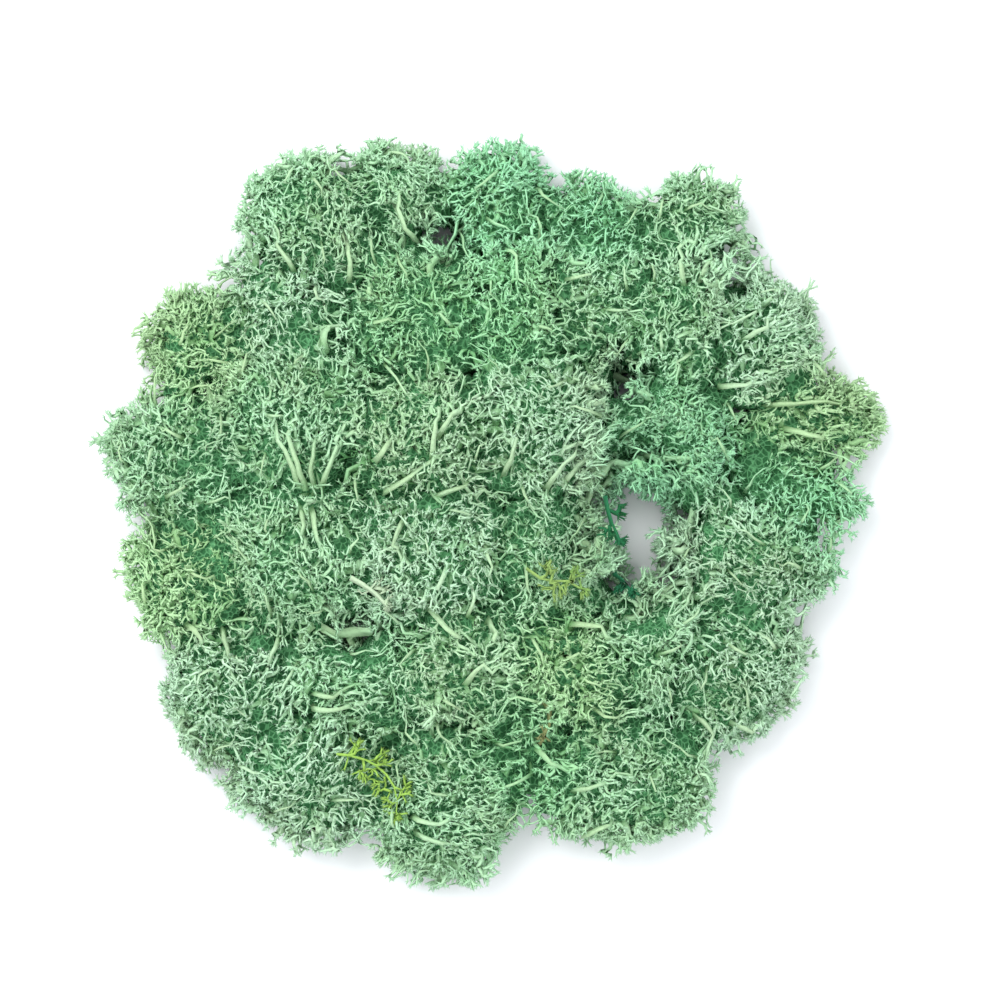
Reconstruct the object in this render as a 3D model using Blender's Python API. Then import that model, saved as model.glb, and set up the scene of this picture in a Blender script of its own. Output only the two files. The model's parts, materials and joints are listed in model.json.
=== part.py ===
"""A loose clump of preserved reindeer moss, lying on a table.

The clump is a pile of separate tufts pressed side by side. Each tuft is one solid: a lumpy heart whose
faces are drawn out into three-sided stems that fork and end in small stars of three points, as the
lichen's branches do. A few small scraps lie on top of the pile.

Lengths in this file are millimetres. They turn into metres where a mesh is made.
"""

import math
import random

import bmesh
import bpy
from mathutils import Matrix, Vector
from mathutils.bvhtree import BVHTree

MM = 0.001

# The air between two tufts that press on each other, and between a scrap and what it lies on.
PRESS_GAP = 0.3
REST_GAP = 0.3

# A tuft's widest level, as a share of its height. Below it the sides draw in to the table.
WAIST = 0.4
# Tufts that are pressed together lie closer than they grew, and bulge into the gaps between them. A
# power of 2 would be a plain egg, and a higher one fills out its shoulders.
DRAWN_TOGETHER = 0.985
BULGE = 1.06
SHOULDERS = 2.5
# How far the heart reaches towards open air, as a share of the tuft's own outline, and how much of the
# room between the two the short points of the heart take up, from the lowest to the highest.
HEART_REACH = 0.60
SPINE_LOW = 0.35
SPINE_HIGH = 0.8
# A wall nearer than the first share of the outline is pressed on, and past the second the air is free.
PRESSED = 0.74
FREE = 0.94
# The lumps of a tuft's outline, as a share of its radius, how far they draw it in on the whole, and how
# fast each of the three waves that add up to them changes with direction.
LUMP = 0.09
DRAWN_IN = 0.03
WAVE_PITCHES = (2.0, 3.0, 4.3)

# The lowest direction, as its share of straight down, in which a tuft still puts out stems, and the
# least open direction that it does so in.
LOWEST_STEM = -0.55
LEAST_OPEN = 0.3

# A forked stem: distance to the next one, the radius at its foot, fork and twigs, how far the twigs and
# the tips spread to the side, and how high each stage rises as a share of the room over the heart.
STEM_SPACING = 6.8
FOOT_RADIUS = 1.55
FORK_RADIUS = 1.35
TWIG_RADIUS = 1.2
FORK_SPREAD = 2.9
TIP_SPREAD = 2.6
FOOT_RISE = 0.14
FORK_RISE = 0.26
TWIG_RISE = 0.28
TIP_RISE = 0.36
MOST_LEAN = 0.3
TWIG_SPLAY = 0.4
SPINE_LEAN = 0.12
# A bare stem: its radius, how deep under the tuft's outline its foot, middle and end lie, how much its
# end turns up, and the length of its tips.
BARE_RADIUS = 1.6
BARE_DEPTHS = (2.6, 1.7, 2.0)
BARE_UPTURN = 0.4
BARE_TIPS = 4.0
# How far a stem may be bent clear of a neighbouring tuft before it is left out, and how many ways of
# leaning it are tried where it would cross another stem.
MOST_BEND = 2.6
TRIES = 8
# What a tip, and the skin of a stem, keep from the walls of their tuft's room, and how many times a point
# is pushed clear of all the walls in turn.
TIP_MARGIN = 0.1
WALL_MARGIN = 0.12
WALL_ROUNDS = 6
# How unevenly twigs and tips grow: the least and most of the spread at a fork, of a tip's reach and of its
# spread, and how far a tip turns from its place, in radians.
FORK_UNEVEN = (0.85, 1.15)
REACH_UNEVEN = (0.8, 1.1)
SPREAD_UNEVEN = (0.8, 1.2)
TIP_TURN = 0.35
# The two twigs of a fork stand at least this many twig radii apart.
LEAST_SPLIT = 2.2

# A loose scrap: its end's and its side twigs' radius as a share of the stem's, how a twig leans forward
# and up, where it splits, and how long and how far apart its points are.
SCRAP_SEED = 31
SCRAP_END = 0.8
SIDE_END = 0.8
SIDE_FORWARD = 0.7
SIDE_UP = 0.25
SIDE_SPLIT = 0.6
POINTS_LONG = 1.9
POINTS_APART = 1.3
# A scrap is let down onto the pile from this height, in steps that halve until they are this small.
DROP_FROM = 60.0
DROP_STEP = 4.0
LEAST_STEP = 0.02

# Tufts: middle of the tuft, height of its top, half length, half width and turn in degrees.
# X is to the right and Y away from the viewer, from the middle of the clump.
TUFTS = {
    "rim_tuft_upper_left": (-40.0, 66.0, 24, 20.0, 18.5, 0, "sage"),
    "rim_tuft_top_left": (-24.5, 73.0, 23, 15.0, 14.5, 0, "sage"),
    "rim_tuft_top_mint": (0.5, 71.5, 22, 13.5, 15.0, 0, "mint"),
    "rim_tuft_top_small": (23.5, 67.5, 18, 12.5, 12.0, 0, "mint"),
    "rim_tuft_top_right": (46.5, 66.0, 20, 13.0, 13.5, 0, "sage"),
    "rim_tuft_right_upper": (60.0, 41.0, 23, 17.5, 16.0, -30, "pale"),
    "rim_tuft_right_fan": (72.5, 21.5, 16, 21.5, 10.5, 0, "olive"),
    "rim_tuft_right_mint": (70.5, 3.5, 17, 20.5, 10.5, 0, "mint"),
    "rim_tuft_right_lower": (59.0, -12.5, 24, 22.0, 17.0, 0, "pale"),
    "rim_tuft_lower_right": (55.5, -36.0, 23, 18.5, 18.0, 30, "pale"),
    "rim_tuft_bottom_right": (30.5, -63.0, 23, 21.5, 16.5, 0, "sage"),
    "rim_tuft_bottom": (-11.5, -68.5, 24, 18.5, 19.5, -20, "sage"),
    "rim_tuft_bottom_left": (-43.5, -60.0, 21, 21.5, 17.0, -25, "pale"),
    "rim_tuft_left_lower": (-61.0, -41.5, 22, 17.5, 19.5, 0, "pale"),
    "rim_tuft_left_olive": (-70.5, -16.0, 20, 15.5, 17.0, 0, "olive"),
    "rim_tuft_left": (-75.0, 13.0, 22, 17.5, 16.5, 0, "sage"),
    "rim_tuft_left_upper": (-68.5, 38.5, 19, 14.5, 15.0, 0, "olive"),
    "inner_tuft_upper_left": (-48.5, 48.0, 25, 16.0, 16.0, 0, "pale"),
    "inner_tuft_stem_fan": (-46.5, 24.0, 30, 22.0, 23.5, 0, "sage"),
    "inner_tuft_left": (-45.0, -10.2, 28.6, 21.5, 20.0, 0, "sage"),
    "inner_tuft_deep_green": (-17.5, 46.5, 28, 20.5, 19.5, 0, "deep"),
    "inner_tuft_top": (6.5, 48.5, 29, 17.5, 21.0, 0, "deep"),
    "inner_tuft_upper_right": (24.0, 50.5, 26, 18.5, 18.5, 0, "sage"),
    "inner_tuft_right": (45.0, 45.0, 27, 19.0, 19.5, 0, "sage"),
    "inner_tuft_hole_side": (39.5, 18.0, 30, 18.0, 17.0, 0, "mint"),
    "inner_tuft_lower_right": (38.5, -31.0, 27, 16.0, 17.5, 0, "sage"),
    "inner_tuft_comb": (18.5, -37.0, 29, 17.0, 16.5, 0, "olive"),
    "inner_tuft_antlers": (-8.0, -35.5, 31, 20.0, 17.5, 0, "brown"),
    "inner_tuft_lower_left": (-35.5, -40.0, 27, 19.0, 17.0, 0, "sage"),
    "inner_tuft_low_dark": (9.0, -54.5, 20, 12.0, 11.0, 0, "deep"),
    "centre_tuft_brown_stems": (-18.0, 18.0, 35, 20.5, 19.5, 0, "brown"),
    "centre_tuft_pale_stems": (11.0, 19.5, 35, 20.5, 20.5, 0, "pale"),
    "centre_tuft_webbed": (-15.0, -9.5, 34, 21.0, 19.0, 0, "pale"),
    "centre_tuft_scraps": (13.0, -11.5, 31, 16.0, 17.0, 0, "sage"),
}

# Thick stems that lie bare on the pile: where each springs from, and where it ends, in plan.
BARE_STEMS = {
    "inner_tuft_stem_fan": [
        ((-44.5, 5.0), (-49.0, 17.5), (-52.5, 27.0)),
        ((-43.5, 5.0), (-46.5, 16.5), (-47.0, 28.5)),
        ((-42.0, 5.2), (-41.5, 15.0), (-38.5, 26.0)),
        ((-40.0, 5.5), (-37.0, 13.0), (-32.5, 20.0)),
    ],
    "inner_tuft_left": [
        ((-44.8, 1.5), (-43.5, -4.0), (-41.5, -9.5)),
        ((-42.0, 1.0), (-41.0, -5.0), (-39.5, -12.0)),
    ],
    "centre_tuft_brown_stems": [
        ((-25.5, 4.5), (-17.5, 9.5), (-13.0, 15.5)),
        ((-14.5, 12.5), (-13.5, 20.0), (-12.0, 26.5)),
        ((-13.5, 17.0), (-9.5, 23.5), (-7.0, 29.5)),
        ((-27.5, 12.0), (-24.5, 16.5), (-24.0, 22.0)),
    ],
    "centre_tuft_pale_stems": [
        ((11.5, 6.0), (16.0, 12.0), (21.5, 18.0)),
        ((15.5, 6.0), (19.0, 11.0), (23.5, 14.5)),
        ((1.5, 8.5), (4.0, 15.0), (3.0, 22.0)),
    ],
    "centre_tuft_webbed": [
        ((-14.0, 3.5), (-7.0, 6.0), (-1.5, 4.5)),
        ((-11.0, -11.5), (-13.5, -17.5), (-14.5, -20.5)),
        ((-21.0, -1.0), (-23.5, -7.5), (-24.0, -13.5)),
    ],
    "inner_tuft_antlers": [
        ((-15.0, -22.5), (-7.5, -29.0), (-1.0, -33.0)),
        ((-7.0, -39.0), (-3.0, -34.5), (3.5, -33.0)),
        ((-1.5, -24.0), (-0.5, -30.0), (-4.5, -38.5)),
    ],
    "inner_tuft_comb": [
        ((17.0, -25.5), (24.0, -26.0), (29.5, -29.5)),
    ],
    "inner_tuft_hole_side": [
        ((33.0, 11.5), (37.5, 9.5), (42.0, 6.5)),
        ((34.0, 13.0), (39.5, 12.0), (45.0, 9.0)),
    ],
    "rim_tuft_left_lower": [
        ((-71.0, -25.5), (-66.5, -29.0), (-62.0, -31.5)),
        ((-63.0, -26.5), (-61.0, -32.0), (-57.5, -37.0)),
        ((-50.0, -28.0), (-52.0, -33.5), (-56.0, -37.0)),
    ],
    "inner_tuft_lower_left": [
        ((-41.5, -41.5), (-36.0, -42.0), (-30.0, -41.5)),
        ((-42.0, -44.5), (-36.0, -45.0), (-29.0, -44.0)),
    ],
    "rim_tuft_bottom_right": [
        ((9.5, -54.0), (13.0, -58.0), (17.5, -60.0)),
        ((20.0, -75.0), (25.5, -71.5), (30.5, -68.0)),
        ((17.5, -64.0), (23.0, -62.5), (30.0, -63.5)),
    ],
    "rim_tuft_lower_right": [
        ((45.5, -46.5), (50.0, -51.0), (52.0, -57.0)),
        ((54.0, -48.5), (60.0, -51.0), (62.0, -56.0)),
    ],
    "rim_tuft_right_upper": [
        ((51.0, 29.0), (58.0, 29.5), (65.0, 31.5)),
        ((56.0, 39.5), (63.0, 43.0), (69.5, 46.0)),
    ],
    "rim_tuft_right_fan": [
        ((62.0, 25.0), (71.5, 25.5), (81.0, 26.5)),
        ((66.0, 19.5), (75.0, 17.5), (84.0, 17.0)),
    ],
    "rim_tuft_top_right": [
        ((43.0, 52.5), (42.0, 57.5), (41.5, 63.5)),
        ((46.5, 53.5), (49.5, 58.0), (53.5, 60.5)),
    ],
    "rim_tuft_bottom": [
        ((-19.0, -69.5), (-13.0, -71.0), (-5.5, -70.0)),
        ((-18.5, -73.0), (-12.0, -75.5), (-5.0, -75.5)),
    ],
    "rim_tuft_upper_left": [
        ((-33.5, 53.0), (-33.5, 59.5), (-35.5, 66.0)),
        ((-46.0, 56.0), (-50.0, 61.5), (-52.5, 66.5)),
    ],
    "rim_tuft_top_left": [
        ((-18.0, 62.5), (-21.5, 66.0), (-24.5, 71.5)),
    ],
}

# Scraps on the pile: the stem in plan from one end to the other, its radius, and its side twigs as
# (number of the stem's point that it leaves from, side, length).
SCRAPS = {
    "loose_sprig_yellow": (
        [
            (-36.5, -55.0),
            (-33.5, -55.3),
            (-30.5, -56.2),
            (-27.5, -57.6),
            (-25.0, -59.8),
            (-23.2, -62.6),
            (-22.6, -65.8),
            (-22.8, -68.5),
        ],
        0.8,
        [(1, 1, 4.5), (2, -1, 5.5), (3, 1, 4.5), (4, -1, 5.5), (5, 1, 4.5), (6, -1, 4.0)],
        "yellow",
    ),
    "loose_twig_brown": (
        [(11.0, -42.5), (12.4, -45.5), (12.2, -48.5), (11.0, -50.8)],
        1.1,
        [],
        "brown",
    ),
    "loose_stem_pale": (
        [(-33.0, -14.5), (-30.2, -16.1), (-27.6, -18.0), (-25.6, -20.0)],
        1.2,
        [(2, 1, 3.8)],
        "pale",
    ),
    "loose_scrap_olive": (
        [(7.0, -12.5), (10.0, -14.6), (13.2, -15.4), (16.4, -15.4), (19.2, -17.0)],
        1.0,
        [(1, 1, 4.5), (2, -1, 4.5), (3, 1, 4.0)],
        "olive",
    ),
    "loose_scrap_teal": (
        [(25.0, 4.0), (25.6, 0.8), (26.4, -2.4), (27.8, -5.4)],
        1.3,
        [(1, 1, 4.0), (2, -1, 4.0)],
        "teal",
    ),
    "loose_scrap_teal_small": (
        [(27.0, -13.8), (29.2, -15.4), (30.8, -17.6)],
        1.1,
        [(1, -1, 3.6)],
        "teal",
    ),
}

# Colour (linear RGB) of each growth of lichen. All are dry and matt.
TINTS = {
    "sage": (0.21, 0.42, 0.25),
    "mint": (0.12, 0.44, 0.25),
    "pale": (0.28, 0.45, 0.28),
    "olive": (0.27, 0.40, 0.18),
    "deep": (0.15, 0.36, 0.20),
    "brown": (0.30, 0.33, 0.21),
    "yellow": (0.33, 0.50, 0.12),
    "teal": (0.03, 0.17, 0.10),
}
ROUGHNESS = 0.9


def clear_scene():
    for item in list(bpy.data.objects):
        bpy.data.objects.remove(item, do_unlink=True)


def lichen_material(tint):
    """The matt surface of one growth, made once and shared by every tuft of that growth."""
    name = "lichen_" + tint
    material = bpy.data.materials.get(name)
    if material is None:
        material = bpy.data.materials.new(name)
        material.use_nodes = True
        shader = material.node_tree.nodes["Principled BSDF"]
        shader.inputs["Base Color"].default_value = (*TINTS[tint], 1.0)
        shader.inputs["Roughness"].default_value = ROUGHNESS
        shader.inputs["Metallic"].default_value = 0.0
    return material


def add_object(name, body, tint):
    """Turns a bmesh in millimetres into an object in metres."""
    bmesh.ops.scale(body, vec=(MM, MM, MM), verts=body.verts)
    mesh = bpy.data.meshes.new(name)
    body.to_mesh(mesh)
    body.free()
    made = bpy.data.objects.new(name, mesh)
    bpy.context.scene.collection.objects.link(made)
    mesh.materials.append(lichen_material(tint))
    return made


class Tuft:
    """The room that one tuft fills: a lumpy egg, cut flat where it meets the table and its neighbours."""

    def __init__(self, number, name, row):
        x, y, top, long_half, short_half, turn, self.tint = row
        self.name = name
        self.middle = Vector((x * DRAWN_TOGETHER, y * DRAWN_TOGETHER, WAIST * top))
        self.halves = Vector((long_half * BULGE, short_half * BULGE, (1.0 - WAIST) * top))
        self.turn = math.radians(turn)
        self.walls = []
        self.draw = random.Random(1000 + number)
        self.waves = []
        for pitch in WAVE_PITCHES:
            axis = Vector([self.draw.gauss(0.0, 1.0) for _ in range(3)]).normalized()
            self.waves.append((axis * pitch, self.draw.uniform(0.0, math.tau)))

    def egg_radius(self, way):
        """From the middle to the smooth egg, along a unit direction."""
        c = math.cos(self.turn)
        s = math.sin(self.turn)
        local = (way.x * c + way.y * s, -way.x * s + way.y * c, way.z)
        return sum(abs(w / half) ** SHOULDERS for w, half in zip(local, self.halves)) ** (-1.0 / SHOULDERS)

    def outline_radius(self, way):
        """The same, with the lumps."""
        lumps = sum(math.sin(way.dot(wave) + start) for wave, start in self.waves) / len(self.waves)
        return self.egg_radius(way) * (1.0 + LUMP * lumps - DRAWN_IN)

    def wall_radius(self, way):
        """From the middle to the nearest wall along a direction: a neighbour or the table."""
        nearest = math.inf
        for normal, distance in self.walls:
            slope = normal.dot(way)
            if slope > 1e-6:
                nearest = min(nearest, (distance - normal.dot(self.middle)) / slope)
        return nearest

    def openness(self, way):
        """1 where the tuft meets open air, 0 where it presses on a neighbour or the table."""
        ratio = self.wall_radius(way) / self.outline_radius(way)
        return min(1.0, max(0.0, (ratio - PRESSED) / (FREE - PRESSED)))

    def heart_radius(self, way):
        open_share = self.openness(way)
        reach = 1.0 + (HEART_REACH - 1.0) * open_share
        return min(self.outline_radius(way) * reach, self.wall_radius(way))

    def held_clear(self, point, radius):
        """The point moved, where it has to be, so that a twig of that radius stays in the tuft's room."""
        moved = point.copy()
        for _ in range(WALL_ROUNDS):
            for normal, distance in self.walls:
                over = normal.dot(moved) - (distance - radius - WALL_MARGIN)
                if over > 0.0:
                    moved -= normal * over
        return moved


def neighbour_walls(tufts):
    """Gives every pair of tufts a flat wall between them, and every tuft the table."""
    for tuft in tufts:
        tuft.walls.append((Vector((0.0, 0.0, -1.0)), 0.0))
    for i, one in enumerate(tufts):
        for other in tufts[i + 1 :]:
            across = other.middle - one.middle
            span = across.length
            way = across / span
            near = one.egg_radius(way)
            far = other.egg_radius(-way)
            place = near + 0.5 * (span - near - far)
            at = one.middle + way * place
            one.walls.append((way, way.dot(at) - 0.5 * PRESS_GAP))
            other.walls.append((-way, -way.dot(at) - 0.5 * PRESS_GAP))


def side_way(way, angle):
    """A direction square to the given one, turned round it by the angle."""
    first = way.orthogonal().normalized()
    return first * math.cos(angle) + way.cross(first) * math.sin(angle)


class Twig:
    """One point along a stem: where it is, how thick, and what grows on from it."""

    def __init__(self, point, radius, kids=()):
        self.point = point
        self.radius = radius
        self.kids = list(kids)
        self.half = None


def ring_round(body, centre, along, radius, guides):
    """Three points round a centre, each turned towards the guide that it joins."""
    middle = sum(guides, Vector()) / 3.0
    first = guides[0] - middle
    first -= along * along.dot(first)
    first.normalize()
    second = along.cross(first)
    if second.dot(guides[1] - middle) < 0.0:
        second.negate()
    ring = []
    for k in range(3):
        angle = math.tau * k / 3.0
        ring.append(body.verts.new(centre + radius * (first * math.cos(angle) + second * math.sin(angle))))
    return ring


def sleeve(body, lower, upper, extra=None):
    """The three sides between two rings. extra is a point halfway along the upper ring's second side."""
    for k in range(3):
        a, b = lower[k], lower[(k + 1) % 3]
        c, d = upper[(k + 1) % 3], upper[k]
        if k == 1 and extra:
            body.faces.new((a, b, extra))
            body.faces.new((b, c, extra))
            body.faces.new((a, extra, d))
        else:
            body.faces.new((a, b, c))
            body.faces.new((a, c, d))


def point_over(body, ring, tip):
    apex = body.verts.new(tip)
    for k in range(3):
        body.faces.new((ring[k], ring[(k + 1) % 3], apex))


def star_over(body, ring, centre, tips):
    """Three points spread over one ring, as the lichen ends."""
    hub = body.verts.new(centre)
    left = list(tips)
    for k in range(3):
        a, b = ring[k], ring[(k + 1) % 3]
        side = (a.co + b.co) * 0.5 - centre
        tip = max(left, key=lambda t: (t - centre).dot(side))
        left.remove(tip)
        point_over(body, (a, b, hub), tip)


def grow(body, ring, here):
    """Grows what follows one twig point out of the ring that ends it: one stem, a fork or a star."""
    kids = here.kids
    if len(kids) == 1:
        climb(body, ring, kids[0])
    elif len(kids) == 2:
        a, b, c = ring
        if (c.co - b.co).dot(kids[1].point - kids[0].point) < 0.0:
            kids = kids[::-1]
        climb(body, (a, b, here.half), kids[0])
        climb(body, (a, here.half, c), kids[1])
    else:
        middle = sum((v.co for v in ring), Vector()) / 3.0
        star_over(body, ring, 2.0 * here.point - middle, [kid.point for kid in kids])


def climb(body, lower, kid):
    """Builds the stem from a lower ring up to one twig point, and then what grows on from it."""
    if not kid.kids:
        point_over(body, lower, kid.point)
        return
    start = sum((v.co for v in lower), Vector()) / 3.0
    onward = sum((k.point for k in kid.kids), Vector()) / len(kid.kids)
    along = (kid.point - start).normalized() + (onward - kid.point).normalized()
    along.normalize()
    upper = ring_round(body, kid.point, along, kid.radius, [v.co for v in lower])
    if len(kid.kids) == 2:
        spread = kid.kids[1].point - kid.kids[0].point
        reach = [abs((upper[(k + 2) % 3].co - upper[(k + 1) % 3].co).dot(spread)) for k in range(3)]
        first = reach.index(max(reach))
        lower = [lower[(first + k) % 3] for k in range(3)]
        upper = [upper[(first + k) % 3] for k in range(3)]
        kid.half = body.verts.new((upper[1].co + upper[2].co) * 0.5)
    sleeve(body, lower, upper, kid.half)
    grow(body, upper, kid)


def stem_mesh(root):
    """A closed mesh of one loose stem and all that grows from it, from its root point on."""
    body = bmesh.new()
    first = root.kids[0].point
    along = (first - root.point).normalized()
    turn = side_way(along, 0.0)
    ring = []
    for k in range(3):
        angle = math.tau * k / 3.0
        way = turn * math.cos(angle) + along.cross(turn) * math.sin(angle)
        ring.append(body.verts.new(root.point + way * root.radius))
    body.faces.new(ring)
    climb(body, ring, root.kids[0])
    bmesh.ops.recalc_face_normals(body, faces=body.faces)
    return body


def star(tuft, hub, way, reach, turn):
    """Three tips round a hub, kept in the tuft's room."""
    draw = tuft.draw
    tips = []
    for k in range(3):
        side = side_way(way, turn + math.tau * k / 3.0 + draw.uniform(-TIP_TURN, TIP_TURN))
        tip = hub + way * reach * draw.uniform(*REACH_UNEVEN)
        tip += side * TIP_SPREAD * draw.uniform(*SPREAD_UNEVEN)
        tips.append(Twig(tuft.held_clear(tip, TIP_MARGIN), 0.0))
    return tips


def crown(tuft, way):
    """A stem that stands out of the heart, forks once and ends in two stars. None where it has no room."""
    draw = tuft.draw
    heart = tuft.heart_radius(way)
    room = tuft.outline_radius(way) - heart
    lean = side_way(way, draw.uniform(0.0, math.tau)) * draw.uniform(0.0, MOST_LEAN)
    up = (way + lean).normalized()
    foot = tuft.middle + way * (heart + FOOT_RISE * room)
    fork = foot + up * FORK_RISE * room
    turn = draw.uniform(0.0, math.tau)
    side = side_way(up, turn)
    hubs = []
    for sense in (-1.0, 1.0):
        centre = fork + up * TWIG_RISE * room + side * sense * FORK_SPREAD * draw.uniform(*FORK_UNEVEN)
        outward = (up + side * sense * TWIG_SPLAY).normalized()
        hub = Twig(tuft.held_clear(centre, TWIG_RADIUS), TWIG_RADIUS)
        if (hub.point - centre).length > MOST_BEND:
            return None
        hub.kids = star(tuft, hub.point, outward, TIP_RISE * room, turn)
        hubs.append(hub)
    if (hubs[0].point - hubs[1].point).length < LEAST_SPLIT * TWIG_RADIUS:
        return None
    forked = Twig(tuft.held_clear(fork, FORK_RADIUS), FORK_RADIUS, hubs)
    return Twig(tuft.held_clear(foot, FOOT_RADIUS), FOOT_RADIUS, [forked])


def on_outline(tuft, x, y, sink):
    """The point of the tuft's outline over a place in plan, sunk towards its middle."""
    flat = Vector((x - tuft.middle.x, y - tuft.middle.y, 0.0))
    low, high = 0.0, math.pi / 2.0
    for _ in range(30):
        tilt = 0.5 * (low + high)
        way = (flat.normalized() * math.cos(tilt) + Vector((0.0, 0.0, math.sin(tilt)))).normalized()
        reach = tuft.outline_radius(way)
        if reach * math.cos(tilt) > flat.length:
            low = tilt
        else:
            high = tilt
    return tuft.middle + way * (reach - sink), way


def bare_stem(tuft, route):
    """A thick stem that lies bare over the heart and ends in a star."""
    (x0, y0), (x1, y1), (x2, y2) = route
    foot, _ = on_outline(tuft, x0, y0, BARE_DEPTHS[0])
    half, _ = on_outline(tuft, x1, y1, BARE_DEPTHS[1])
    end, end_way = on_outline(tuft, x2, y2, BARE_DEPTHS[2])
    onward = (Vector((x2 - x1, y2 - y1, 0.0)).normalized() + end_way * BARE_UPTURN).normalized()
    finish = Twig(tuft.held_clear(end, FORK_RADIUS), FORK_RADIUS)
    finish.kids = star(tuft, finish.point, onward, BARE_TIPS, 0.0)
    middle = Twig(tuft.held_clear(half, BARE_RADIUS), BARE_RADIUS, [finish])
    return Twig(tuft.held_clear(foot, BARE_RADIUS), BARE_RADIUS, [middle])


def spine(tuft, way):
    """The short point that any other open face of the heart is drawn out to."""
    lean = side_way(way, tuft.draw.uniform(0.0, math.tau)) * SPINE_LEAN
    heart = tuft.heart_radius(way)
    share = tuft.draw.uniform(SPINE_LOW, SPINE_HIGH)
    reach = heart + (tuft.outline_radius(way) - heart) * share
    return Twig(tuft.held_clear(tuft.middle + (way + lean).normalized() * reach, TIP_MARGIN), 0.0)


def crosses(fresh, rest):
    """Whether any of the fresh faces cuts a face that it shares no corner with."""
    everything = fresh + rest
    places = {}
    for face in everything:
        for corner in face.verts:
            places.setdefault(corner, len(places))
    points = [corner.co for corner in places]
    rows = [[places[corner] for corner in face.verts] for face in everything]
    one = BVHTree.FromPolygons(points, rows[: len(fresh)])
    other = BVHTree.FromPolygons(points, rows)
    return any(not set(rows[i]) & set(rows[j]) for i, j in one.overlap(other))


def draw_out(body, face, twig):
    """Draws one face of the heart out into a stem. Puts the face back if the stem would cross another."""
    corners = list(face.verts)
    body.faces.remove(face)
    old_corners = set(body.verts)
    old_faces = set(body.faces)
    climb(body, corners, twig)
    fresh = [face for face in body.faces if face not in old_faces]
    if not crosses(fresh, list(old_faces)):
        return True
    added = [corner for corner in body.verts if corner not in old_corners]
    bmesh.ops.delete(body, geom=added, context="VERTS")
    body.faces.new(corners)
    return False


def tuft_mesh(tuft):
    """One tuft: a ball of 80 faces drawn out to the tuft's form, with a stem or a point on each open face."""
    body = bmesh.new()
    bmesh.ops.create_icosphere(body, subdivisions=2, radius=1.0)
    for corner in body.verts:
        way = corner.co.normalized()
        corner.co = tuft.middle + way * tuft.heart_radius(way)
    sites = []
    for face in body.faces:
        way = (face.calc_center_median() - tuft.middle).normalized()
        if tuft.openness(way) > LEAST_OPEN and way.z > LOWEST_STEM:
            sites.append((tuple(face.verts), way))
    tuft.draw.shuffle(sites)
    for route in BARE_STEMS.get(tuft.name, []):
        twig = bare_stem(tuft, route)
        reach = [(tuft.middle + way * tuft.heart_radius(way) - twig.point).length for _, way in sites]
        place = reach.index(min(reach))
        if draw_out(body, face_of(body, sites[place][0]), twig):
            sites.pop(place)
    roots = []
    points = []
    for corners, way in sites:
        root = tuft.middle + way * tuft.heart_radius(way)
        near = min(((root - other).length for other in roots), default=math.inf)
        if near < STEM_SPACING or not any(
            draw_out(body, face_of(body, corners), twig)
            for twig in (crown(tuft, way) for _ in range(TRIES))
            if twig
        ):
            points.append((corners, way))
            continue
        roots.append(root)
    for corners, way in points:
        for _ in range(TRIES):
            if draw_out(body, face_of(body, corners), spine(tuft, way)):
                break
    return body


def face_of(body, corners):
    """The face that has just these corners."""
    return next(face for face in corners[0].link_faces if set(face.verts) == set(corners))


def scrap_points(at, ahead, draw):
    """The three points that a scrap's stem or side twig ends in."""
    ends = []
    for k in range(3):
        beside = side_way(ahead, math.tau * k / 3.0) * POINTS_APART
        long = POINTS_LONG * draw.uniform(*REACH_UNEVEN)
        ends.append(Twig(at + ahead * long + beside, 0.0))
    return ends


def scrap_stem(row, draw):
    """A scrap as twig points, lying level, with its side twigs."""
    route, radius, twigs, _ = row
    points = [Vector((x, y, 0.0)) for x, y in route]
    ahead = (points[-1] - points[-2]).normalized()
    stem = Twig(points[-1], radius * SCRAP_END, scrap_points(points[-1], ahead, draw))
    for k in range(len(points) - 2, -1, -1):
        stem = Twig(points[k], radius, [stem])
        ahead = (points[k + 1] - points[k]).normalized()
        for start, sense, length in twigs:
            if start == k:
                side = Vector((-ahead.y, ahead.x, 0.0)) * sense
                way = (side + ahead * SIDE_FORWARD + Vector((0.0, 0.0, SIDE_UP))).normalized()
                far = points[k] + way * length * SIDE_SPLIT
                stem.kids.append(Twig(far, radius * SIDE_END, scrap_points(far, way, draw)))
    return stem


def tree_of(objects):
    """One search tree over the faces of several objects, in millimetres."""
    corners = []
    faces = []
    for item in objects:
        start = len(corners)
        corners += [v.co / MM for v in item.data.vertices]
        faces += [[start + i for i in face.vertices] for face in item.data.polygons]
    return BVHTree.FromPolygons(corners, faces)


def lay_down(scrap, pile):
    """Lowers a scrap straight down until it lies on the pile, with the rest gap under it."""
    points = [v.co / MM for v in scrap.data.vertices]
    faces = [list(face.vertices) for face in scrap.data.polygons]
    under = tree_of(pile)
    height = DROP_FROM
    step = DROP_STEP
    while step > LEAST_STEP:
        moved = [p + Vector((0.0, 0.0, height - step)) for p in points]
        low = min(p.z for p in moved)
        if low < REST_GAP or BVHTree.FromPolygons(moved, faces).overlap(under):
            step *= 0.5
        else:
            height -= step
    scrap.data.transform(Matrix.Translation((0.0, 0.0, (height + REST_GAP) * MM)))


def make_scrap(name, row, pile):
    body = stem_mesh(scrap_stem(row, random.Random(SCRAP_SEED * len(name))))
    scrap = add_object(name, body, row[3])
    lay_down(scrap, pile)
    return scrap


def centre_on_origin(pile):
    """Puts the middle of the whole clump's box over the origin. The table is at zero height already."""
    corners = [v.co for item in pile for v in item.data.vertices]
    x = 0.5 * (min(c.x for c in corners) + max(c.x for c in corners))
    y = 0.5 * (min(c.y for c in corners) + max(c.y for c in corners))
    for item in pile:
        item.data.transform(Matrix.Translation((-x, -y, 0.0)))


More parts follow.
